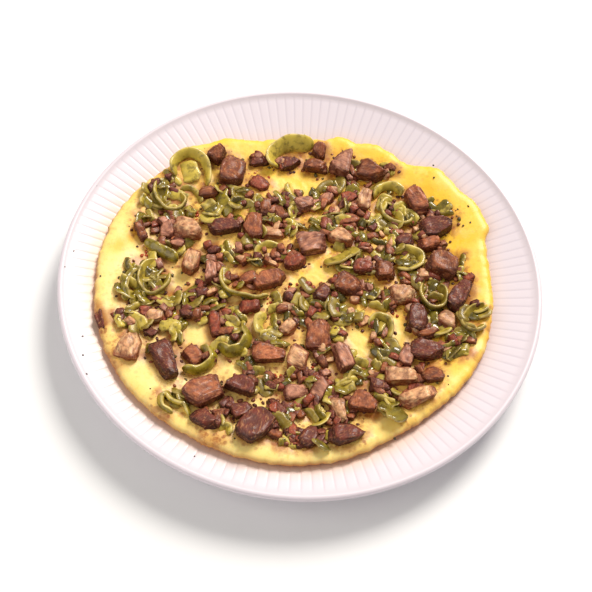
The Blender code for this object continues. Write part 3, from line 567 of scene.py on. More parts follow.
smallPepper = (
    (((-86, 60.5), (-81.5, 56.5), (-79.5, 52.7)), 3.6, 24, 0.35),
    (((-74.5, 49.8), (-68.5, 50.8), (-64, 46.6), (-62, 42)), 4, 34, 0.3),
    (((18, 44.7), (24, 46.6), (29.5, 45.2)), 4, 26, 0.2),
    (((13.5, 48.9), (13, 43.4), (14.5, 38.8)), 4, 26, 0.35),
    (((20, 67.5), (24, 67), (30, 66)), 3.2, 22, 0.25),
    (((69.5, 48.9), (77, 47.5), (85, 48)), 3.6, 38, 0.6), (((47.5, 31.5), (48, 23)), 5.6, 42, 0.8),
    (((89, 21), (87.5, 12)), 4, 30, 0.45), (((80, -47.5), (86, -46), (91.5, -43)), 4.8, 54, 0.6),
    (((-91.5, 31.5), (-87.5, 24.9)), 4, 42, 0.35), (((-89, -31), (-86, -25), (-82, -28)), 4, 36, 0.35),
    (((-77, -25.5), (-70, -27.5), (-65, -23)), 4.8, 44, 0.4),
    (((-45.5, 17.5), (-43, 10), (-39, 5.5)), 5.2, 32, 0.45),
    (((18, 34.3), (25, 31.5), (29, 26.8)), 4, 28, 0.5),
    (((-13, 34.8), (-9, 31.5), (-6, 27.3)), 5.2, 36, 0.5),
    (((-26, 9.5), (-24.5, 14), (-19.5, 16.5), (-12, 16)), 4.8, 26, 0.55),
    (((5, -19), (12, -21), (20, -22)), 4.8, 38, 0.4),
    (((-4.5, -22.5), (-1, -27), (3.5, -27)), 4.8, 26, 0.3),
    (((-14, -27.5), (-13.5, -33.5), (-11.5, -39.5)), 4.8, 28, 0.35),
    (((21, -24), (28, -29)), 6, 56, 0.5), (((12, -82), (16, -86)), 4.8, 50, 0.6),
    (((23, -70), (28, -66), (34, -63)), 4.8, 36, 0.65), (((45, -41), (49, -46.5)), 4, 34, 0.45),
    (((-67.5, -37.5), (-64, -45.5), (-60.5, -52)), 5.2, 36, 0.3),
    (((-96.5, -39), (-94, -44), (-89, -46.5)), 5, 26, 0.3),
    (((-55, 54), (-53.5, 46), (-50, 38), (-46.5, 33)), 8.5, 62, 0.55),
    (((-51, 55), (-42, 52.5), (-33.5, 49.5)), 4.5, 30, 0.45),
    (((-39, 42.5), (-34, 42.5), (-29.5, 40)), 5.5, 45, 0.25),
    (((-22.5, 33), (-16, 31.5)), 5.5, 40, 0.35),
    (((30.5, -56), (35, -54.5), (38.5, -55.5)), 5.5, 45, 0.5),
    (((83, -36), (88, -33), (90.5, -29)), 5, 45, 0.4),
)
loosePepper = (
    (((-77.5, 66.5), (-75, 60.5), (-73.5, 54.5)), 11, 74, 0.8), (((-9, 47), (-7, 39)), 5, 30, 0.5),
    (((12.5, 67), (15.5, 60)), 5, 30, 0.3), (((63, 0), (65, -4.5)), 5, 30, 0.5),
    (((37.5, -17), (48, -20)), 5, 36, 0.4), (((79, -34.5), (86, -34.5)), 5, 36, 0.4),
    (((-80.5, 32), (-75, 30), (-70, 32)), 5, 34, 0.4), (((1, 37), (8, 32)), 5, 30, 0.6),
    (((-35.5, -28.5), (-32, -32.5), (-27, -34.5)), 5, 34, 0.5),
    (((18.5, -94), (18.5, -100)), 5, 30, 0.4), (((-22, -64), (-14.5, -63.5)), 5, 40, 0.4),
    (((40, -52), (45, -56)), 5, 30, 0.4), (((-77, -54), (-76.5, -60)), 5, 30, 0.3),
    (((1, -83.5), (6, -87.5)), 5, 30, 0.4), (((-4, -105), (0, -103.5)), 5, 30, 0.5),
    (((-34, -100), (-30.5, -98.5), (-29.5, -102.5)), 5, 30, 0.4),
)

# crowds of scraps: x, y, reach across and up the plate, how many of pepper and of meat
crowdPlaces = (
    (-84, 52, 5, 4, 3, 6), (-80, 44, 5, 5, 8, 1), (-90, 46, 3, 3, 2, 4), (-92, 38, 4, 5, 4, 0),
    (-76, 32, 7, 3, 7, 3), (-68, 36, 3, 3, 2, 2), (-57, 32, 4, 7, 8, 2), (-85, 24, 6, 4, 2, 4),
    (-66, 12, 6, 4, 3, 6), (-80, 13, 4, 3, 1, 3), (-45, 50, 7, 4, 5, 2), (-36, 46, 5, 6, 6, 3),
    (-22, 45, 7, 6, 4, 9), (-12, 54, 7, 3, 6, 3), (-8, 46, 5, 7, 6, 6), (-45, 30, 9, 5, 2, 8),
    (-22, 34, 6, 4, 5, 3), (-28, 20, 8, 6, 4, 6), (-50, 10, 4, 6, 2, 4), (-38, 10, 4, 5, 5, 3),
    (-22, 8, 8, 6, 4, 8), (-8, 12, 5, 5, 2, 6), (-8, 32, 6, 6, 6, 5), (-30, 78, 4, 2, 0, 5),
    (-14, 76, 6, 2, 0, 4), (5, 50, 5, 6, 5, 3), (14, 62, 5, 4, 3, 3), (22, 48, 7, 4, 6, 4),
    (18, 40, 8, 5, 6, 5), (30, 55, 4, 5, 2, 4), (30, 68, 8, 3, 2, 4), (35, 40, 6, 6, 7, 4),
    (46, 50, 4, 8, 7, 2), (56, 47, 6, 7, 8, 1), (60, 38, 5, 4, 4, 2), (72, 45, 6, 6, 0, 9),
    (64, 56, 4, 6, 0, 5), (75, 54, 6, 2, 4, 0), (45, 35, 8, 5, 7, 5), (22, 32, 6, 6, 6, 4),
    (10, 30, 5, 5, 4, 4), (8, 36, 6, 4, 5, 3), (35, 25, 8, 5, 5, 6), (48, 22, 6, 6, 6, 3),
    (58, 16, 8, 7, 11, 2), (70, 30, 6, 4, 0, 6), (78, 20, 5, 7, 0, 6), (22, 12, 7, 6, 6, 3),
    (38, 8, 9, 6, 2, 8), (60, 4, 8, 4, 4, 4), (74, 3, 6, 5, 6, 3), (88, 10, 4, 5, 3, 3),
    (20, 75, 6, 3, 3, 3), (40, 74, 5, 3, 2, 3), (-90, -8, 7, 8, 10, 2), (-80, -10, 6, 7, 8, 2),
    (-92, -22, 5, 6, 8, 2), (-84, -24, 5, 4, 6, 2), (-72, -22, 7, 4, 8, 5), (-58, -18, 5, 6, 4, 9),
    (-45, -22, 8, 5, 5, 8), (-90, -38, 6, 5, 7, 5), (-84, -42, 4, 4, 4, 3), (-78, -36, 4, 4, 1, 6),
    (-66, -34, 6, 5, 6, 6), (-64, -44, 4, 5, 5, 2), (-55, -32, 6, 4, 3, 7), (-42, -34, 4, 7, 1, 8),
    (-35, -36, 4, 6, 5, 5), (-32, -48, 6, 5, 7, 3), (-14, -36, 5, 6, 7, 1), (-10, -20, 6, 6, 4, 6),
    (-32, -8, 9, 5, 3, 6), (-48, -4, 4, 6, 2, 7), (-14, -50, 6, 5, 1, 4), (-45, -58, 4, 3, 2, 4),
    (-22, -62, 6, 4, 5, 3), (-25, -72, 6, 4, 1, 8), (-10, -70, 6, 5, 4, 6), (-42, -76, 6, 4, 0, 5),
    (-28, -86, 5, 4, 0, 7), (-40, -94, 6, 4, 1, 7), (-36, -104, 7, 3, 6, 2), (-12, -94, 6, 6, 4, 7),
    (-55, -84, 6, 4, 5, 1), (-4, -85, 6, 5, 3, 7), (5, -12, 4, 5, 3, 5), (20, -6, 6, 6, 3, 6),
    (18, -16, 5, 4, 5, 3), (32, -10, 6, 6, 4, 7), (8, -20, 6, 3, 6, 2), (24, -24, 8, 4, 8, 4),
    (42, -12, 7, 5, 3, 5), (56, -16, 8, 3, 2, 5), (70, -12, 6, 6, 6, 4), (66, -24, 6, 6, 1, 8),
    (80, -24, 5, 5, 3, 6), (86, -32, 6, 5, 7, 3), (94, -18, 5, 6, 6, 4), (78, -42, 5, 3, 3, 2),
    (86, -44, 6, 3, 4, 0), (3, -30, 5, 5, 3, 5), (20, -36, 5, 3, 3, 3), (44, -34, 4, 8, 5, 4),
    (46, -44, 5, 4, 4, 2), (30, -26, 6, 3, 5, 2), (15, -50, 5, 5, 1, 7), (36, -56, 7, 4, 7, 2),
    (52, -52, 5, 4, 2, 4), (4, -62, 8, 4, 3, 7), (16, -64, 6, 4, 2, 6), (28, -66, 6, 5, 8, 2),
    (45, -66, 6, 4, 1, 8), (52, -72, 6, 5, 5, 3), (36, -78, 6, 4, 1, 7), (16, -74, 7, 5, 2, 9),
    (8, -84, 7, 5, 5, 5), (24, -88, 5, 4, 1, 7), (10, -98, 8, 4, 3, 9), (2, -104, 6, 3, 2, 3),
    (62, -70, 6, 4, 0, 4), (70, -55, 5, 5, 0, 4),
)


def fromDice(row, x, y, unit):
    # how far a place is from the middle of one of the dice, 1 at the edge; unit is that of x and y
    px, py, length, width, _, turn = row[:6]
    turn = math.radians(turn)
    across, along = x - px * unit, y - py * unit
    u = (across * math.cos(turn) + along * math.sin(turn)) / (length * unit / 2)
    v = (along * math.cos(turn) - across * math.sin(turn)) / (width * unit / 2)
    return np.hypot(u, v)


def nearToppings(x, y):
    # 1 under or beside a topping, falling to 0 a little way off
    near = np.zeros_like(x)
    for row in largeMeat + smallMeat + looseMeat:
        past = (fromDice(row, x, y, mm) - 1) * row[3] * mm / 2
        near = np.maximum(near, 1 - rise(past, 0, 5 * mm))
    for path, _, _, _ in largePepper + smallPepper + loosePepper:
        for px, py in curveThrough(np.array(path) * mm, np.linspace(0, 1, 14)):
            past = np.hypot(x - px, y - py) - 1.5 * mm
            near = np.maximum(near, 1 - rise(past, 0, 5 * mm))
    return near


def nearCrowds(x, y):
    # 1 in the middle of a crowd of scraps, falling to 0 past its reach
    near = np.zeros_like(x)
    for px, py, reachX, reachY, _, _ in crowdPlaces:
        far = np.hypot((x / mm - px) / (reachX + 2.5), (y / mm - py) / (reachY + 2.5))
        near = np.maximum(near, 1 - rise(far, 0.45, 1.25))
    return near


def eggLooks(x, y, level, near, lump):
    # colour at each point, from where it lies on the omelette
    o = omelette
    toShade = rise(-(0.62 * x + 0.72 * y) / mm, -66, 84)  # 0 at the upper right, 1 at the lower left
    cream = 0.10 + 0.75 * toShade + 0.25 * lump
    dx, dy = x / mm - o["creasePlace"][0], y / mm - o["creasePlace"][1]
    wayX, wayY = o["creaseWay"]
    crease = np.exp(-(((wayY * dx - wayX * dy) / o["creaseWidth"]) ** 2))
    crease = crease * (1 - rise(np.abs(wayX * dx + wayY * dy), *o["creaseReach"]))
    cream = np.clip(cream - 0.9 * crease, 0, 1)
    colour = blendColours(cream, o["yellow"], o["cream"])
    colour = blendColours(np.clip(crease * 0.7, 0, 1), colour, o["deep"])
    # browner and darker beside the toppings: fat stain and painted shade between the pieces
    colour = blendColours(np.clip(near * (0.5 + 0.6 * lump), 0, 1), colour, o["stainAndShade"])
    colour = blendColours(near * rise(lump, -0.1, 0.5) * 0.7, colour, o["burntAndShade"])
    side = 1 - rise(level, 0.3, 0.9)
    # brown crust on the edge all round, with painted shade making it darker towards the front and lower
    # left, away from the light
    crustAndShade = side * (0.25 + 0.65 * rise(-(0.35 * x + 0.9 * y) / mm, -60, 20))
    return blendColours(np.clip(crustAndShade + side * lump * 0.4, 0, 1), colour, o["brown"])


def buildOmelette(o):
    around = o["around"]
    angles = np.linspace(0, fullTurn, around, endpoint=False)
    inner = np.linspace(0.02, 0.88, 84)
    run, places = np.linspace(0, 1, 14), np.linspace(0, 1, len(o["edge"]))
    edgeShares, edgeLevels = [np.interp(run, places, values) for values in zip(*o["edge"])]
    shares = np.concatenate([inner, edgeShares, (0.8, 0.5, 0.1)])[:, None]
    levels = np.concatenate([np.ones(len(inner)), edgeLevels, (0, 0, 0)])[:, None]
    radius = eggRadius(angles)
    circle = np.stack([np.cos(angles), np.sin(angles), 0 * angles], 1)
    nick = noiseAt(circle, 0.045, 4) + 0.6 * noiseAt(circle, 0.018, 9)
    ragged = o["ragged"] * nick * rise(shares, 0.88, 1.0)
    lower = rise(np.cos(angles - math.radians(o["spreadTowards"])), 0.45, 0.95)
    spread = o["spread"] * lower * rise(shares, 0.75, 1.0)
    r = shares * radius + ragged + spread
    x, y = r * np.cos(angles), r * np.sin(angles)
    flat = np.stack([x, y, 0 * x], -1).reshape(-1, 3)
    touching = nearToppings(x, y)
    # near marks where the egg gets stain and painted shade beside toppings and crowds
    near = np.maximum(0.85 * touching, nearCrowds(x, y))
    kinds = ((11 * mm, 5), (4.2 * mm, 12), (1.9 * mm, 20))
    lump, dimple, grain = [noiseAt(flat, size, shift).reshape(x.shape) for size, shift in kinds]
    relief = o["dimples"] * (0.6 * lump + 0.55 * dimple) + o["grain"] * grain
    relief = (relief + o["swellByTopping"] * touching) * rise(levels, 0.3, 1.0)
    z = plateTop(r) + o["gap"] + levels * eggThickness(x, y) + relief
    colours = eggLooks(x, y, levels, near, lump).reshape(-1, 3)
    points = np.stack([x, y, z], -1).reshape(-1, 3)
    middle = float(eggTop(np.array(0.0), np.array(0.0)))
    ends = [(0, 0, middle), (0, 0, plate["wellHeight"] + o["gap"])]
    points = np.vstack([points, ends])
    colours = np.vstack([colours, o["yellow"], o["brown"]])
    looks = {"tint": colours, "near": np.append(near.ravel(), (0, 0))}
    makePiece("setEgg", points, ringFaces(len(shares), around), eggPaint(o), ["omelette"], looks)


def eggPaint(o):
    paint = softPaint("egg", 0.25, 0.12, (3, 1.6, 0.5))
    where = paint.place()
    tint = paint.attribute("tint")
    near = paint.attribute("near", 2)
    blotch = paint.noise(where, 95, 4, 0.6)
    fine = paint.noise(where, 420, 3, 0.6)
    pore = paint.noise(where, 1300, 2)
    colour = paint.mix(paint.rise(blotch, 0.5, 0.75) * (0.45 - near * 0.4), tint, o["cream"])
    colour = paint.mix(paint.rise(fine, 0.52, 0.75) * 0.35, colour, o["deep"])
    fleck = 1 - paint.rise(paint.cells(where, 320), 0.22, 0.44)
    here = paint.rise(paint.noise(where, 150, 2), 0.42, 0.56)
    fleck = fleck * here * (0.16 + near * 0.84)
    colour = paint.mix(fleck * 0.85, colour, o["fleck"])
    # juice beside the toppings, which is also painted shade between the pieces
    juiceAndShade = paint.rise(paint.noise(where, 190, 4, 0.65), 0.46, 0.58) * near
    colour = paint.mix(juiceAndShade * 0.7, colour, o["juiceAndShade"])
    paint.set({
        "Base Color": colour,
        "Roughness": 0.38 + fine * 0.22,
        "Coat Weight": 0.14 + near * fine * 0.3,
        "Normal": paint.bump(blotch * 0.5 + fine * 0.35 + pore * 0.15, 0.5 * mm, 0.6),
    })
    return paint


buildPlate(plate)
buildOmelette(omelette)
print("plate and omelette made")


def fitToNode(points, node, sunk):
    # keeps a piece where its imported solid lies, pressed a little into the egg
    low, high = [np.array(corner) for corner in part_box(node)]
    low[2] -= sunk
    start, end = points.min(0), points.max(0)
    return low + (points - start) * (high - low) / (end - start)


# Meat dice

meat = {
    "detail": 17,  # cuts across each face of a large piece
    "smallDetail": 10,
    "sunk": 0.9 * mm,  # how far a large piece is pressed into the egg
    "smallSunk": 1.1 * mm,
    "topTilt": 0.12,
    "deepShaves": 4,
    "deepKeep": (0.68, 0.84),  # share of the reach that a shave leaves
    "lightShaves": 6,
    "lightKeep": (0.82, 0.94),
    "sharper": 1.8,  # squarer corners than the rounded solids
    "lumps": 0.4 * mm,
    "pits": 0.22 * mm,
    "tears": 0.42 * mm,
    "fibres": 0.22 * mm,
    # painted shade for the torn grooves and fibre hollows of the meat
    "grooveShade": linear(84, 32, 15),
    "lightFibre": linear(226, 162, 104),
    "darkFibre": linear(88, 36, 16),
    "mottle": linear(96, 38, 16),
    # top, side; the side colour is browned crust and painted shade
    "tones": {
        "tan": (linear(238, 180, 130), linear(146, 74, 38)),
        "lilac": (linear(202, 138, 110), linear(98, 38, 22)),
        "pink": (linear(180, 101, 59), linear(98, 34, 14)),
        "brown": (linear(152, 79, 37), linear(84, 30, 10)),
        "red": (linear(157, 63, 31), linear(90, 24, 9)),
        "dark": (linear(112, 40, 22), linear(57, 14, 7)),
    },
}


def pointsAndFaces(bm):
    points = np.array([vert.co for vert in bm.verts])
    faces = [tuple(vert.index for vert in face.verts) for face in bm.faces]
    bm.free()
    return points, faces


@functools.cache
def cubeGrid(cuts):
    bm = bmesh.new()
    bmesh.ops.create_cube(bm, size=2.0)
    bmesh.ops.subdivide_edges(bm, edges=bm.edges[:], cuts=cuts, use_grid_fill=True)
    return pointsAndFaces(bm)


def diceShape(row, cuts, seed):
    # a diced piece on the plate: its points, its faces, and colour and grain at each point
    x, y, length, width, height, turn, squareness, narrowing, tone = row
    grid, faces = cubeGrid(cuts)
    squareness += meat["sharper"]
    draw = random.Random(seed)
    c = signedPower(grid, 0.7)  # lines of the grid closer together at the edges
    tip = [draw.uniform(-meat["topTilt"], meat["topTilt"]) for _ in range(2)]
    reach = (np.abs(c) ** squareness).sum(1) ** (1 / squareness)
    c = c / reach[:, None]
    out = signedPower(c, squareness - 1)
    c[:, 1] *= 1 - narrowing * (c[:, 0] + 1)
    c[:, 2] += (tip[0] * c[:, 0] + tip[1] * c[:, 1]) * (c[:, 2] + 1) / 2
    size = np.array((length, width, height)) * mm / 2
    points = c * size
    out = out / size
    out /= np.linalg.norm(out, axis=1)[:, None]
    edge = rise(np.sort(np.abs(c), axis=1)[:, 1], 0.62, 0.92)
    for cut in range(meat["deepShaves"] + meat["lightShaves"]):
        way = np.array((draw.uniform(-1, 1), draw.uniform(-1, 1), draw.uniform(-0.2, 1)))
        way /= np.linalg.norm(way)
        far = points @ way
        keep = draw.uniform(*meat["deepKeep" if cut < meat["deepShaves"] else "lightKeep"])
        past = np.maximum(far - far.max() * keep, 0)
        points -= past[:, None] * way
    shift = draw.uniform(0, 900)
    grainTurn = draw.uniform(0, math.pi)
    gx, gy = turned(points, -grainTurn)
    grain = np.stack([gx * draw.uniform(0.25, 0.8), gy, points[:, 2]], 1)
    lump = noiseAt(points, 3.4 * mm, shift)
    fibre = noiseAt(grain, 1.0 * mm, shift)
    torn = 1 - rise(np.abs(noiseAt(grain, 2.2 * mm, shift + 40)), 0, 0.22)
    pit = noiseAt(points, 1.7 * mm, shift + 60)
    push = meat["lumps"] * lump + meat["fibres"] * fibre + meat["pits"] * pit - meat["tears"] * torn
    points = points + out * (push * min(1, height / 6))[:, None]
    top, side = meat["tones"][tone]
    # sides darker than the top: browned crust, plus painted shade on the faces turned away from the light
    # above
    crustAndShade = 1 - rise(out[:, 2], 0.35, 0.85)
    crustAndShade = np.clip(crustAndShade + edge + 0.5 * lump, 0, 1)
    shade = draw.uniform(0.85, 1.12)
    patch = noiseAt(points, 2.6 * mm, shift + 80)
    colour = blendColours(crustAndShade, top, side) * shade
    colour = blendColours(rise(patch, 0.05, 0.5) * 0.7, colour, side)
    colour = blendColours(rise(-patch, 0.1, 0.5) * 0.4, colour, np.minimum(np.array(top) * 1.4, 0.85))
    # painted shade: darker in the torn grooves and in the hollows between fibres
    colour = blendColours(np.clip(torn * 0.5 + rise(-fibre, 0.1, 0.6) * 0.2, 0, 1), colour, meat["grooveShade"])
    px, py = turned(points, math.radians(turn), x * mm, y * mm)
    pz = points[:, 2] - points[:, 2].min() + eggTop(px, py)
    return np.stack([px, py, pz], 1), faces, {"tint": colour, "grain": grain / mm + shift}


def meatPaint():
    paint = softPaint("cookedMeat", 0.18, 0.06, (2, 0.8, 0.5))
    grain = paint.attribute("grain", 1)
    fibre = paint.noise(grain, 1.1, 4, 0.65)
    mottle = paint.noise(grain, 0.4, 3)
    colour = paint.mix(paint.rise(fibre, 0.5, 0.7) * 0.42, paint.attribute("tint"), meat["lightFibre"])
    colour = paint.mix(paint.rise(1 - fibre, 0.52, 0.72) * 0.45, colour, meat["darkFibre"])
    colour = paint.mix(paint.rise(mottle, 0.5, 0.68) * 0.5, colour, meat["mottle"])
    paint.set({
        "Base Color": colour,
        "Roughness": 0.42 + fibre * 0.3,
        "Coat Weight": 0.03 + mottle * 0.25,
        "Normal": paint.bump(fibre * 0.7 + mottle * 0.3, 0.8 * mm, 0.9),
    })
    return paint


def joinedPiece(name, shapes, paint):
    # many small shapes as one mesh; each shape is its points, faces and looks
    allPoints, allFaces, allLooks = [], [], []
    start = 0
    for points, faces, looks in shapes:
        allPoints.append(points)
        allFaces += [tuple(i + start for i in face) for face in faces]
        allLooks.append(looks)
        start += len(points)
    looks = {key: np.concatenate([each[key] for each in allLooks]) for key in allLooks[0]}
    makePiece(name, np.vstack(allPoints), allFaces, paint, (), looks)


def lifted(shape, height):
    shape[0][:, 2] += height
    return shape


def layToppings(slot, form, shapeOf, large, small, values, paint):
    # the larger pieces one by one in place of their solids, the smaller ones as one mesh
    for number, row in enumerate(large, 1):
        node = f"{slot}_{number:02d}"
        points, faces, looks = shapeOf(row, values["detail"], number)
        points = fitToNode(points, node, values["sunk"])
        makePiece(f"{slot}{form}_{number:02d}", points, faces, paint, [node], looks)
    bits = [shapeOf(row, values["smallDetail"], 100 + number) for number, row in enumerate(small, 1)]
    joinedPiece(f"{slot}Bits", [lifted(bit, -values["smallSunk"]) for bit in bits], paint)
    print(slot, "made:", len(large), "large,", len(bits), "small")


cookedMeat = meatPaint()
layToppings("meat", "Dice", diceShape, largeMeat, smallMeat + looseMeat, meat, cookedMeat)

# Pepper strips

pepper = {
    "detail": 34,  # rings along a large strip
    "smallDetail": 18,
    "wall": 2.4 * mm,
    "hollow": 0.5 * mm,
    "taper": 0.30,
    "sunk": 0.8 * mm,
    "smallSunk": 1.1 * mm,
    "wave": 0.42 * mm,
    "thinning": 0.15,  # share of the wall lost at the free edge
    "skinDark": linear(80, 70, 14),
    "skinBright": linear(166, 146, 34),
    "fleshDark": linear(130, 108, 30),
    "fleshBright": linear(216, 192, 78),
    "cutDark": linear(180, 154, 80),
    "cutBright": linear(226, 204, 126),
    "blotch": linear(70, 50, 14),
    "pale": linear(224, 198, 124),
}


def stripShape(row, steps, seed, around=20, wall=None):
    # a strip of pepper wall: a rounded section swept along its foot line, closed at the ends
    path, width, lean, bright = row
    p = pepper
    draw = random.Random(seed)
    path = np.array(path, float) * mm
    width *= mm
    shares = np.linspace(0, 1, steps)
    here = curveThrough(path, shares)
    ahead = curveThrough(path, shares + 0.01) - curveThrough(path, shares - 0.01)
    side = np.stack([-ahead[:, 1], ahead[:, 0]], 1)
    side /= np.linalg.norm(side, axis=1)[:, None]
    bends = ahead[:-1, 0] * ahead[1:, 1] - ahead[:-1, 1] * ahead[1:, 0]
    skinSide = 1 if bends.sum() >= 0 else -1
    angles = np.linspace(0, fullTurn, around, endpoint=False)
    across, through = signedPower(np.cos(angles), 0.55), signedPower(np.sin(angles), 0.7)
    end = np.abs(2 * shares - 1) ** 4
    close = np.sqrt(np.clip(1 - np.abs(2 * shares - 1) ** 14, 0.05, 1))
    wave = 1 + 0.22 * np.array([noise.noise(Vector((s * 4, seed, 0))) for s in shares])
    tall = width * (1 - p["taper"] * end) * wave
    v = 0.5 + 0.5 * across[None, :] * close[:, None]
    lift = tall[:, None] * v
    bow = p["hollow"] * 4 * v * (1 - v)
    q = (wall or p["wall"]) / 2 * through[None, :] * close[:, None] * (1 - p["thinning"] * v)
    ripple = np.array([[noise.noise(Vector((s * len(path) * 1.6, a * 0.8, seed))) for a in across]
                       for s in shares])
    normal = bow + q + p["wave"] * ripple
    tilt = math.radians(lean)
    out = math.sin(tilt) * lift - math.cos(tilt) * normal
    up = math.cos(tilt) * lift + math.sin(tilt) * normal
    x = here[:, :1] + side[:, :1] * out
    y = here[:, 1:] + side[:, 1:] * out
    z = up - up.min() + eggTop(x, y)
    points = np.stack([x, y, z], -1).reshape(-1, 3)
    points = np.vstack([points, points[:around].mean(0), points[-around:].mean(0)])
    skin = rise(through * skinSide, 0.15, 0.6)
    cut = rise(np.abs(across), 0.86, 0.99) * (1 - 0.6 * skin)
    lightness = np.clip(bright + 0.12 + draw.uniform(-0.15, 0.15) + 0.6 * ripple, 0, 1)
    skinColour, fleshColour, cutColour = [
        blendColours(lightness, p[part + "Dark"], p[part + "Bright"]) for part in ("skin", "flesh", "cut")
    ]
    colour = blendColours(skin[None, :] + 0 * lightness, fleshColour, skinColour)
    colour = blendColours(cut[None, :] + 0 * lightness, colour, cutColour).reshape(-1, 3)
    colour = np.vstack([colour, cutColour[0, 0], cutColour[-1, 0]])
    skinAll = np.append(np.tile(skin, steps), (0, 0))
    return points, ringFaces(steps, around), {"tint": colour, "skin": skinAll}


def pepperPaint():
    paint = softPaint("greenPepper", 0.05, 0.1, (1.2, 1.6, 0.4))
    where = paint.place()
    skin = paint.attribute("skin", 2)
    blotch = paint.noise(where, 260, 3, 0.6)
    fine = paint.noise(where, 1100, 2)
    colour = paint.mix(paint.rise(blotch, 0.48, 0.68) * 0.6, paint.attribute("tint"), pepper["blotch"])
    colour = paint.mix(paint.rise(fine, 0.5, 0.8) * 0.2, colour, pepper["pale"])
    paint.set({
        "Base Color": colour,
        "Roughness": 0.36 - skin * 0.16 + fine * 0.1,
        "Coat Weight": 0.15 + skin * 0.4,
        "Normal": paint.bump(blotch * 0.6 + fine * 0.4, 0.3 * mm, 0.5),
    })
    return paint


greenPepper = pepperPaint()
layToppings("pepper", "Strip", stripShape, largePepper, smallPepper + loosePepper, pepper, greenPepper)

# The crowd of scraps between the larger toppings

crowd = {
    "seed": 8,
    "pepperSize": (5.5, 12.5, 3.6, 7.0),  # length from and to, width from and to, millimetres
    "pepperWall": (1.4 * mm, 2.2 * mm),
    "pepperBright": (-0.3, 0.65),
    "leftBrighter": 0.12,  # added to that at the left of the plate
    "pepperSunk": 0.5 * mm,
    "steep": (20, 50),  # lean of the strips that stand up, degrees
    "low": (50, 86),
    "steepShare": 0.3,
    "meatSize": (4.0, 9.5, 3.0, 6.2),
    "meatSunk": 0.6 * mm,
    "detail": 5,
    "leastDetail": 4,
    "coarseUnder": 6.2,  # scraps of meat shorter than this get the least detail
    "meatTones": ("dark", "dark", "brown", "brown", "red", "pink", "lilac", "tan"),
    "darkTones": 5,  # how many of these are used in the lower part
    "crowding": 0.82,
    "tries": 12,  # at a free place for each scrap
    "reach": 0.94,  # share of the egg's radius that the scraps keep to
    "heap": 2.4 * mm,  # the highest that a scrap lies above the egg
}


def underDice(x, y):
    # inside the foot of one of the larger dice
    return any(fromDice(row, x, y, 1) < 0.85 for row in largeMeat + smallMeat)


def freeSpot(c, draw, x, y, reachX, reachY):
    for _ in range(c["tries"]):
        px, py = x + reachX * draw.uniform(-1, 1), y + reachY * draw.uniform(-1, 1)
        inside = math.hypot(px, py) * mm < c["reach"] * float(eggRadius(np.array(math.atan2(py, px))))
        if inside and not underDice(px, py):
            return px, py
    return None


def pepperScrap(c, draw, x, y, turn, brighter, seed):
    length, width = draw.uniform(*c["pepperSize"][:2]), draw.uniform(*c["pepperSize"][2:])
    dx, dy = math.cos(turn) * length / 2, math.sin(turn) * length / 2
    bend = draw.uniform(-0.45, 0.45)
    path = ((x - dx, y - dy), (x - dy * bend, y + dx * bend), (x + dx, y + dy))
    lean = draw.uniform(*c["steep"]) if draw.random() < c["steepShare"] else draw.uniform(*c["low"])
    row = (path, width, lean, draw.uniform(*c["pepperBright"]) + brighter)
    return stripShape(row, 10, seed, 12, draw.uniform(*c["pepperWall"]))


def meatScrap(c, draw, x, y, turn, tones, seed):
    length, width = draw.uniform(*c["meatSize"][:2]), draw.uniform(*c["meatSize"][2:])
    tone = draw.choice(tones)
    row = (x, y, length, width, width * draw.uniform(0.6, 0.9), math.degrees(turn), 4.5, 0.2, tone)
    return diceShape(row, c["detail"] if length > c["coarseUnder"] else c["leastDetail"], seed)


def buildCrowd(c):
    draw = random.Random(c["seed"])
    peppers, meats = [], []
    for x, y, reachX, reachY, pepperCount, meatCount in crowdPlaces:
        pepperCount = math.ceil(pepperCount * c["crowding"])
        meatCount = math.ceil(meatCount * c["crowding"])
        brighter = c["leftBrighter"] if x < -40 else 0
        tones = c["meatTones"][:c["darkTones"]] if y < -60 else c["meatTones"]
        for number in range(pepperCount + meatCount):
            spot = freeSpot(c, draw, x, y, reachX, reachY)
            if spot is None:
                continue
            lift = draw.uniform(0, c["heap"]) * draw.random()
            turn = draw.uniform(0, fullTurn)
            if number < pepperCount:
                scrap = pepperScrap(c, draw, *spot, turn, brighter, 300 + len(peppers))
                peppers.append(lifted(scrap, lift - c["pepperSunk"]))
            else:
                scrap = meatScrap(c, draw, *spot, turn, tones, 700 + len(meats))
                meats.append(lifted(scrap, lift - c["meatSunk"]))
    joinedPiece("pepperScraps", peppers, greenPepper)
    joinedPiece("meatScraps", meats, cookedMeat)
    print("crowd made:", len(peppers), "scraps of pepper,", len(meats), "of meat")


buildCrowd(crowd)

# Chilli flecks, ground pepper and crumbs

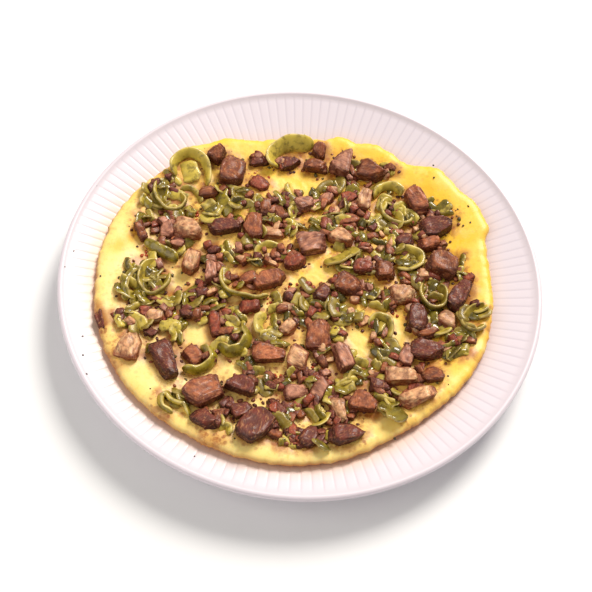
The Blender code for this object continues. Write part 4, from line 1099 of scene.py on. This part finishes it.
seasoning = {
    "seed": 11,
    "chilliPlaces": ((-33, 66), (-85, 2), (-2, -13), (50, -21), (-22, 5), (-9, -63), (-2, -64), (7, -62),
                     (-6, -73), (14, -57), (-60, 36), (-18, -18)),
    "chilliEach": 11,
    "chilliSpread": 2.6,  # millimetres, as are the sizes
    "chilliSize": (0.5, 1.25),
    "chilli": linear(204, 80, 28),
    "grainPlaces": ((73, 83), (73, 72), (93, 53), (90, 40), (94, 42), (51, 66), (87, 51), (-63, -13),
                    (-59, -15), (-108, -17), (-71, -81), (80, -58), (53, -95), (-26, -104), (1.5, -7)),
    "rimGrains": ((-122, 44.5), (-126, -1), (-128.5, -12.5), (-111, -53), (-108.5, -64.5), (-104.5, -75.5),
                  (-44.5, -113.5)),
    "looseGrains": 46,
    "grainSize": (0.5, 0.75),
    "rimGrainSize": 0.55,
    "looseGrainSize": (0.25, 0.45),
    "grain": linear(74, 62, 34),
    "rimGrain": linear(112, 98, 84),
    "looseGrain": linear(84, 66, 34),
    "grainShade": linear(40, 22, 12),
    "crumbSize": (0.5, 1.4),
    "crumbTones": (linear(150, 78, 36), linear(98, 42, 22), linear(120, 50, 24), linear(104, 88, 28)),
    "crumbSpots": 1150,  # tried; those beside a topping are kept
}


crumbMesh = bmesh.new()
bmesh.ops.create_icosphere(crumbMesh, subdivisions=1, radius=1.0)
crumbPoints, crumbFaces = pointsAndFaces(crumbMesh)


def crumbShape(draw, x, y, size, flat, colour, ground=None):
    # one grain: an uneven small lump, turned and lying on what is below
    long = draw.uniform(0.7, 1.5)
    points = crumbPoints * (size * long, size, size * flat)
    points = points * np.array([[draw.uniform(0.7, 1.25)] for _ in range(len(points))])
    px, py = turned(points, draw.uniform(0, math.pi), x, y)
    base = float(eggTop(np.array(x), np.array(y))) if ground is None else ground
    pz = points[:, 2] + base + size * flat * 0.5
    tint = np.tile(np.array(colour) * draw.uniform(0.75, 1.2), (len(points), 1))
    return np.stack([px, py, pz], 1), crumbFaces, {"tint": tint}


def grainPaint(name, roughness):
    paint = Paint(name, {"Coat Weight": 0.2})
    rough = paint.noise(paint.place(), 1500, 2)
    tint = paint.mix(rough * 0.5, paint.attribute("tint"), seasoning["grainShade"], "MULTIPLY")
    paint.set({"Base Color": tint, "Roughness": roughness + rough * 0.2})
    return paint


def buildSeasoning(s):
    draw = random.Random(s["seed"])
    flecks, grains, crumbs = [], [], []
    for x, y in s["chilliPlaces"]:
        for _ in range(s["chilliEach"]):
            px, py = [draw.gauss(place, s["chilliSpread"]) * mm for place in (x, y)]
            size = draw.uniform(*s["chilliSize"]) * mm
            flecks.append(crumbShape(draw, px, py, size, 0.4, s["chilli"]))
    for x, y in s["grainPlaces"]:
        size = draw.uniform(*s["grainSize"]) * mm
        grains.append(crumbShape(draw, x * mm, y * mm, size, 0.8, s["grain"]))
    for x, y in s["rimGrains"]:
        ground = float(plateTop(math.hypot(x, y) * mm))
        size = s["rimGrainSize"] * mm
        grains.append(crumbShape(draw, x * mm, y * mm, size, 0.6, s["rimGrain"], ground))
    for _ in range(s["looseGrains"]):
        angle, share = draw.uniform(0, fullTurn), math.sqrt(draw.uniform(0, 0.9))
        radius = share * float(eggRadius(np.array(angle)))
        px, py = radius * math.cos(angle), radius * math.sin(angle)
        size = draw.uniform(*s["looseGrainSize"]) * mm
        grains.append(crumbShape(draw, px, py, size, 0.8, s["looseGrain"]))
    angles = np.array([draw.uniform(0, fullTurn) for _ in range(s["crumbSpots"])])
    radii = np.sqrt([draw.uniform(0, 0.82) for _ in angles]) * eggRadius(angles)
    spots = np.stack([radii * np.cos(angles), radii * np.sin(angles)], 1)
    for px, py in spots[nearToppings(*spots.T) > 0.3]:
        tone = draw.choice(s["crumbTones"])
        size = draw.uniform(*s["crumbSize"]) * mm
        crumbs.append(crumbShape(draw, px, py, size, 0.7, tone))
    joinedPiece("chilliFlecks", flecks, grainPaint("chilli", 0.4))
    joinedPiece("pepperGrains", grains, grainPaint("groundPepper", 0.6))
    joinedPiece("crumbs", crumbs, grainPaint("friedCrumbs", 0.45))
    print("seasoning made:", len(flecks), "flecks,", len(grains), "grains,", len(crumbs), "crumbs")


buildSeasoning(seasoning)
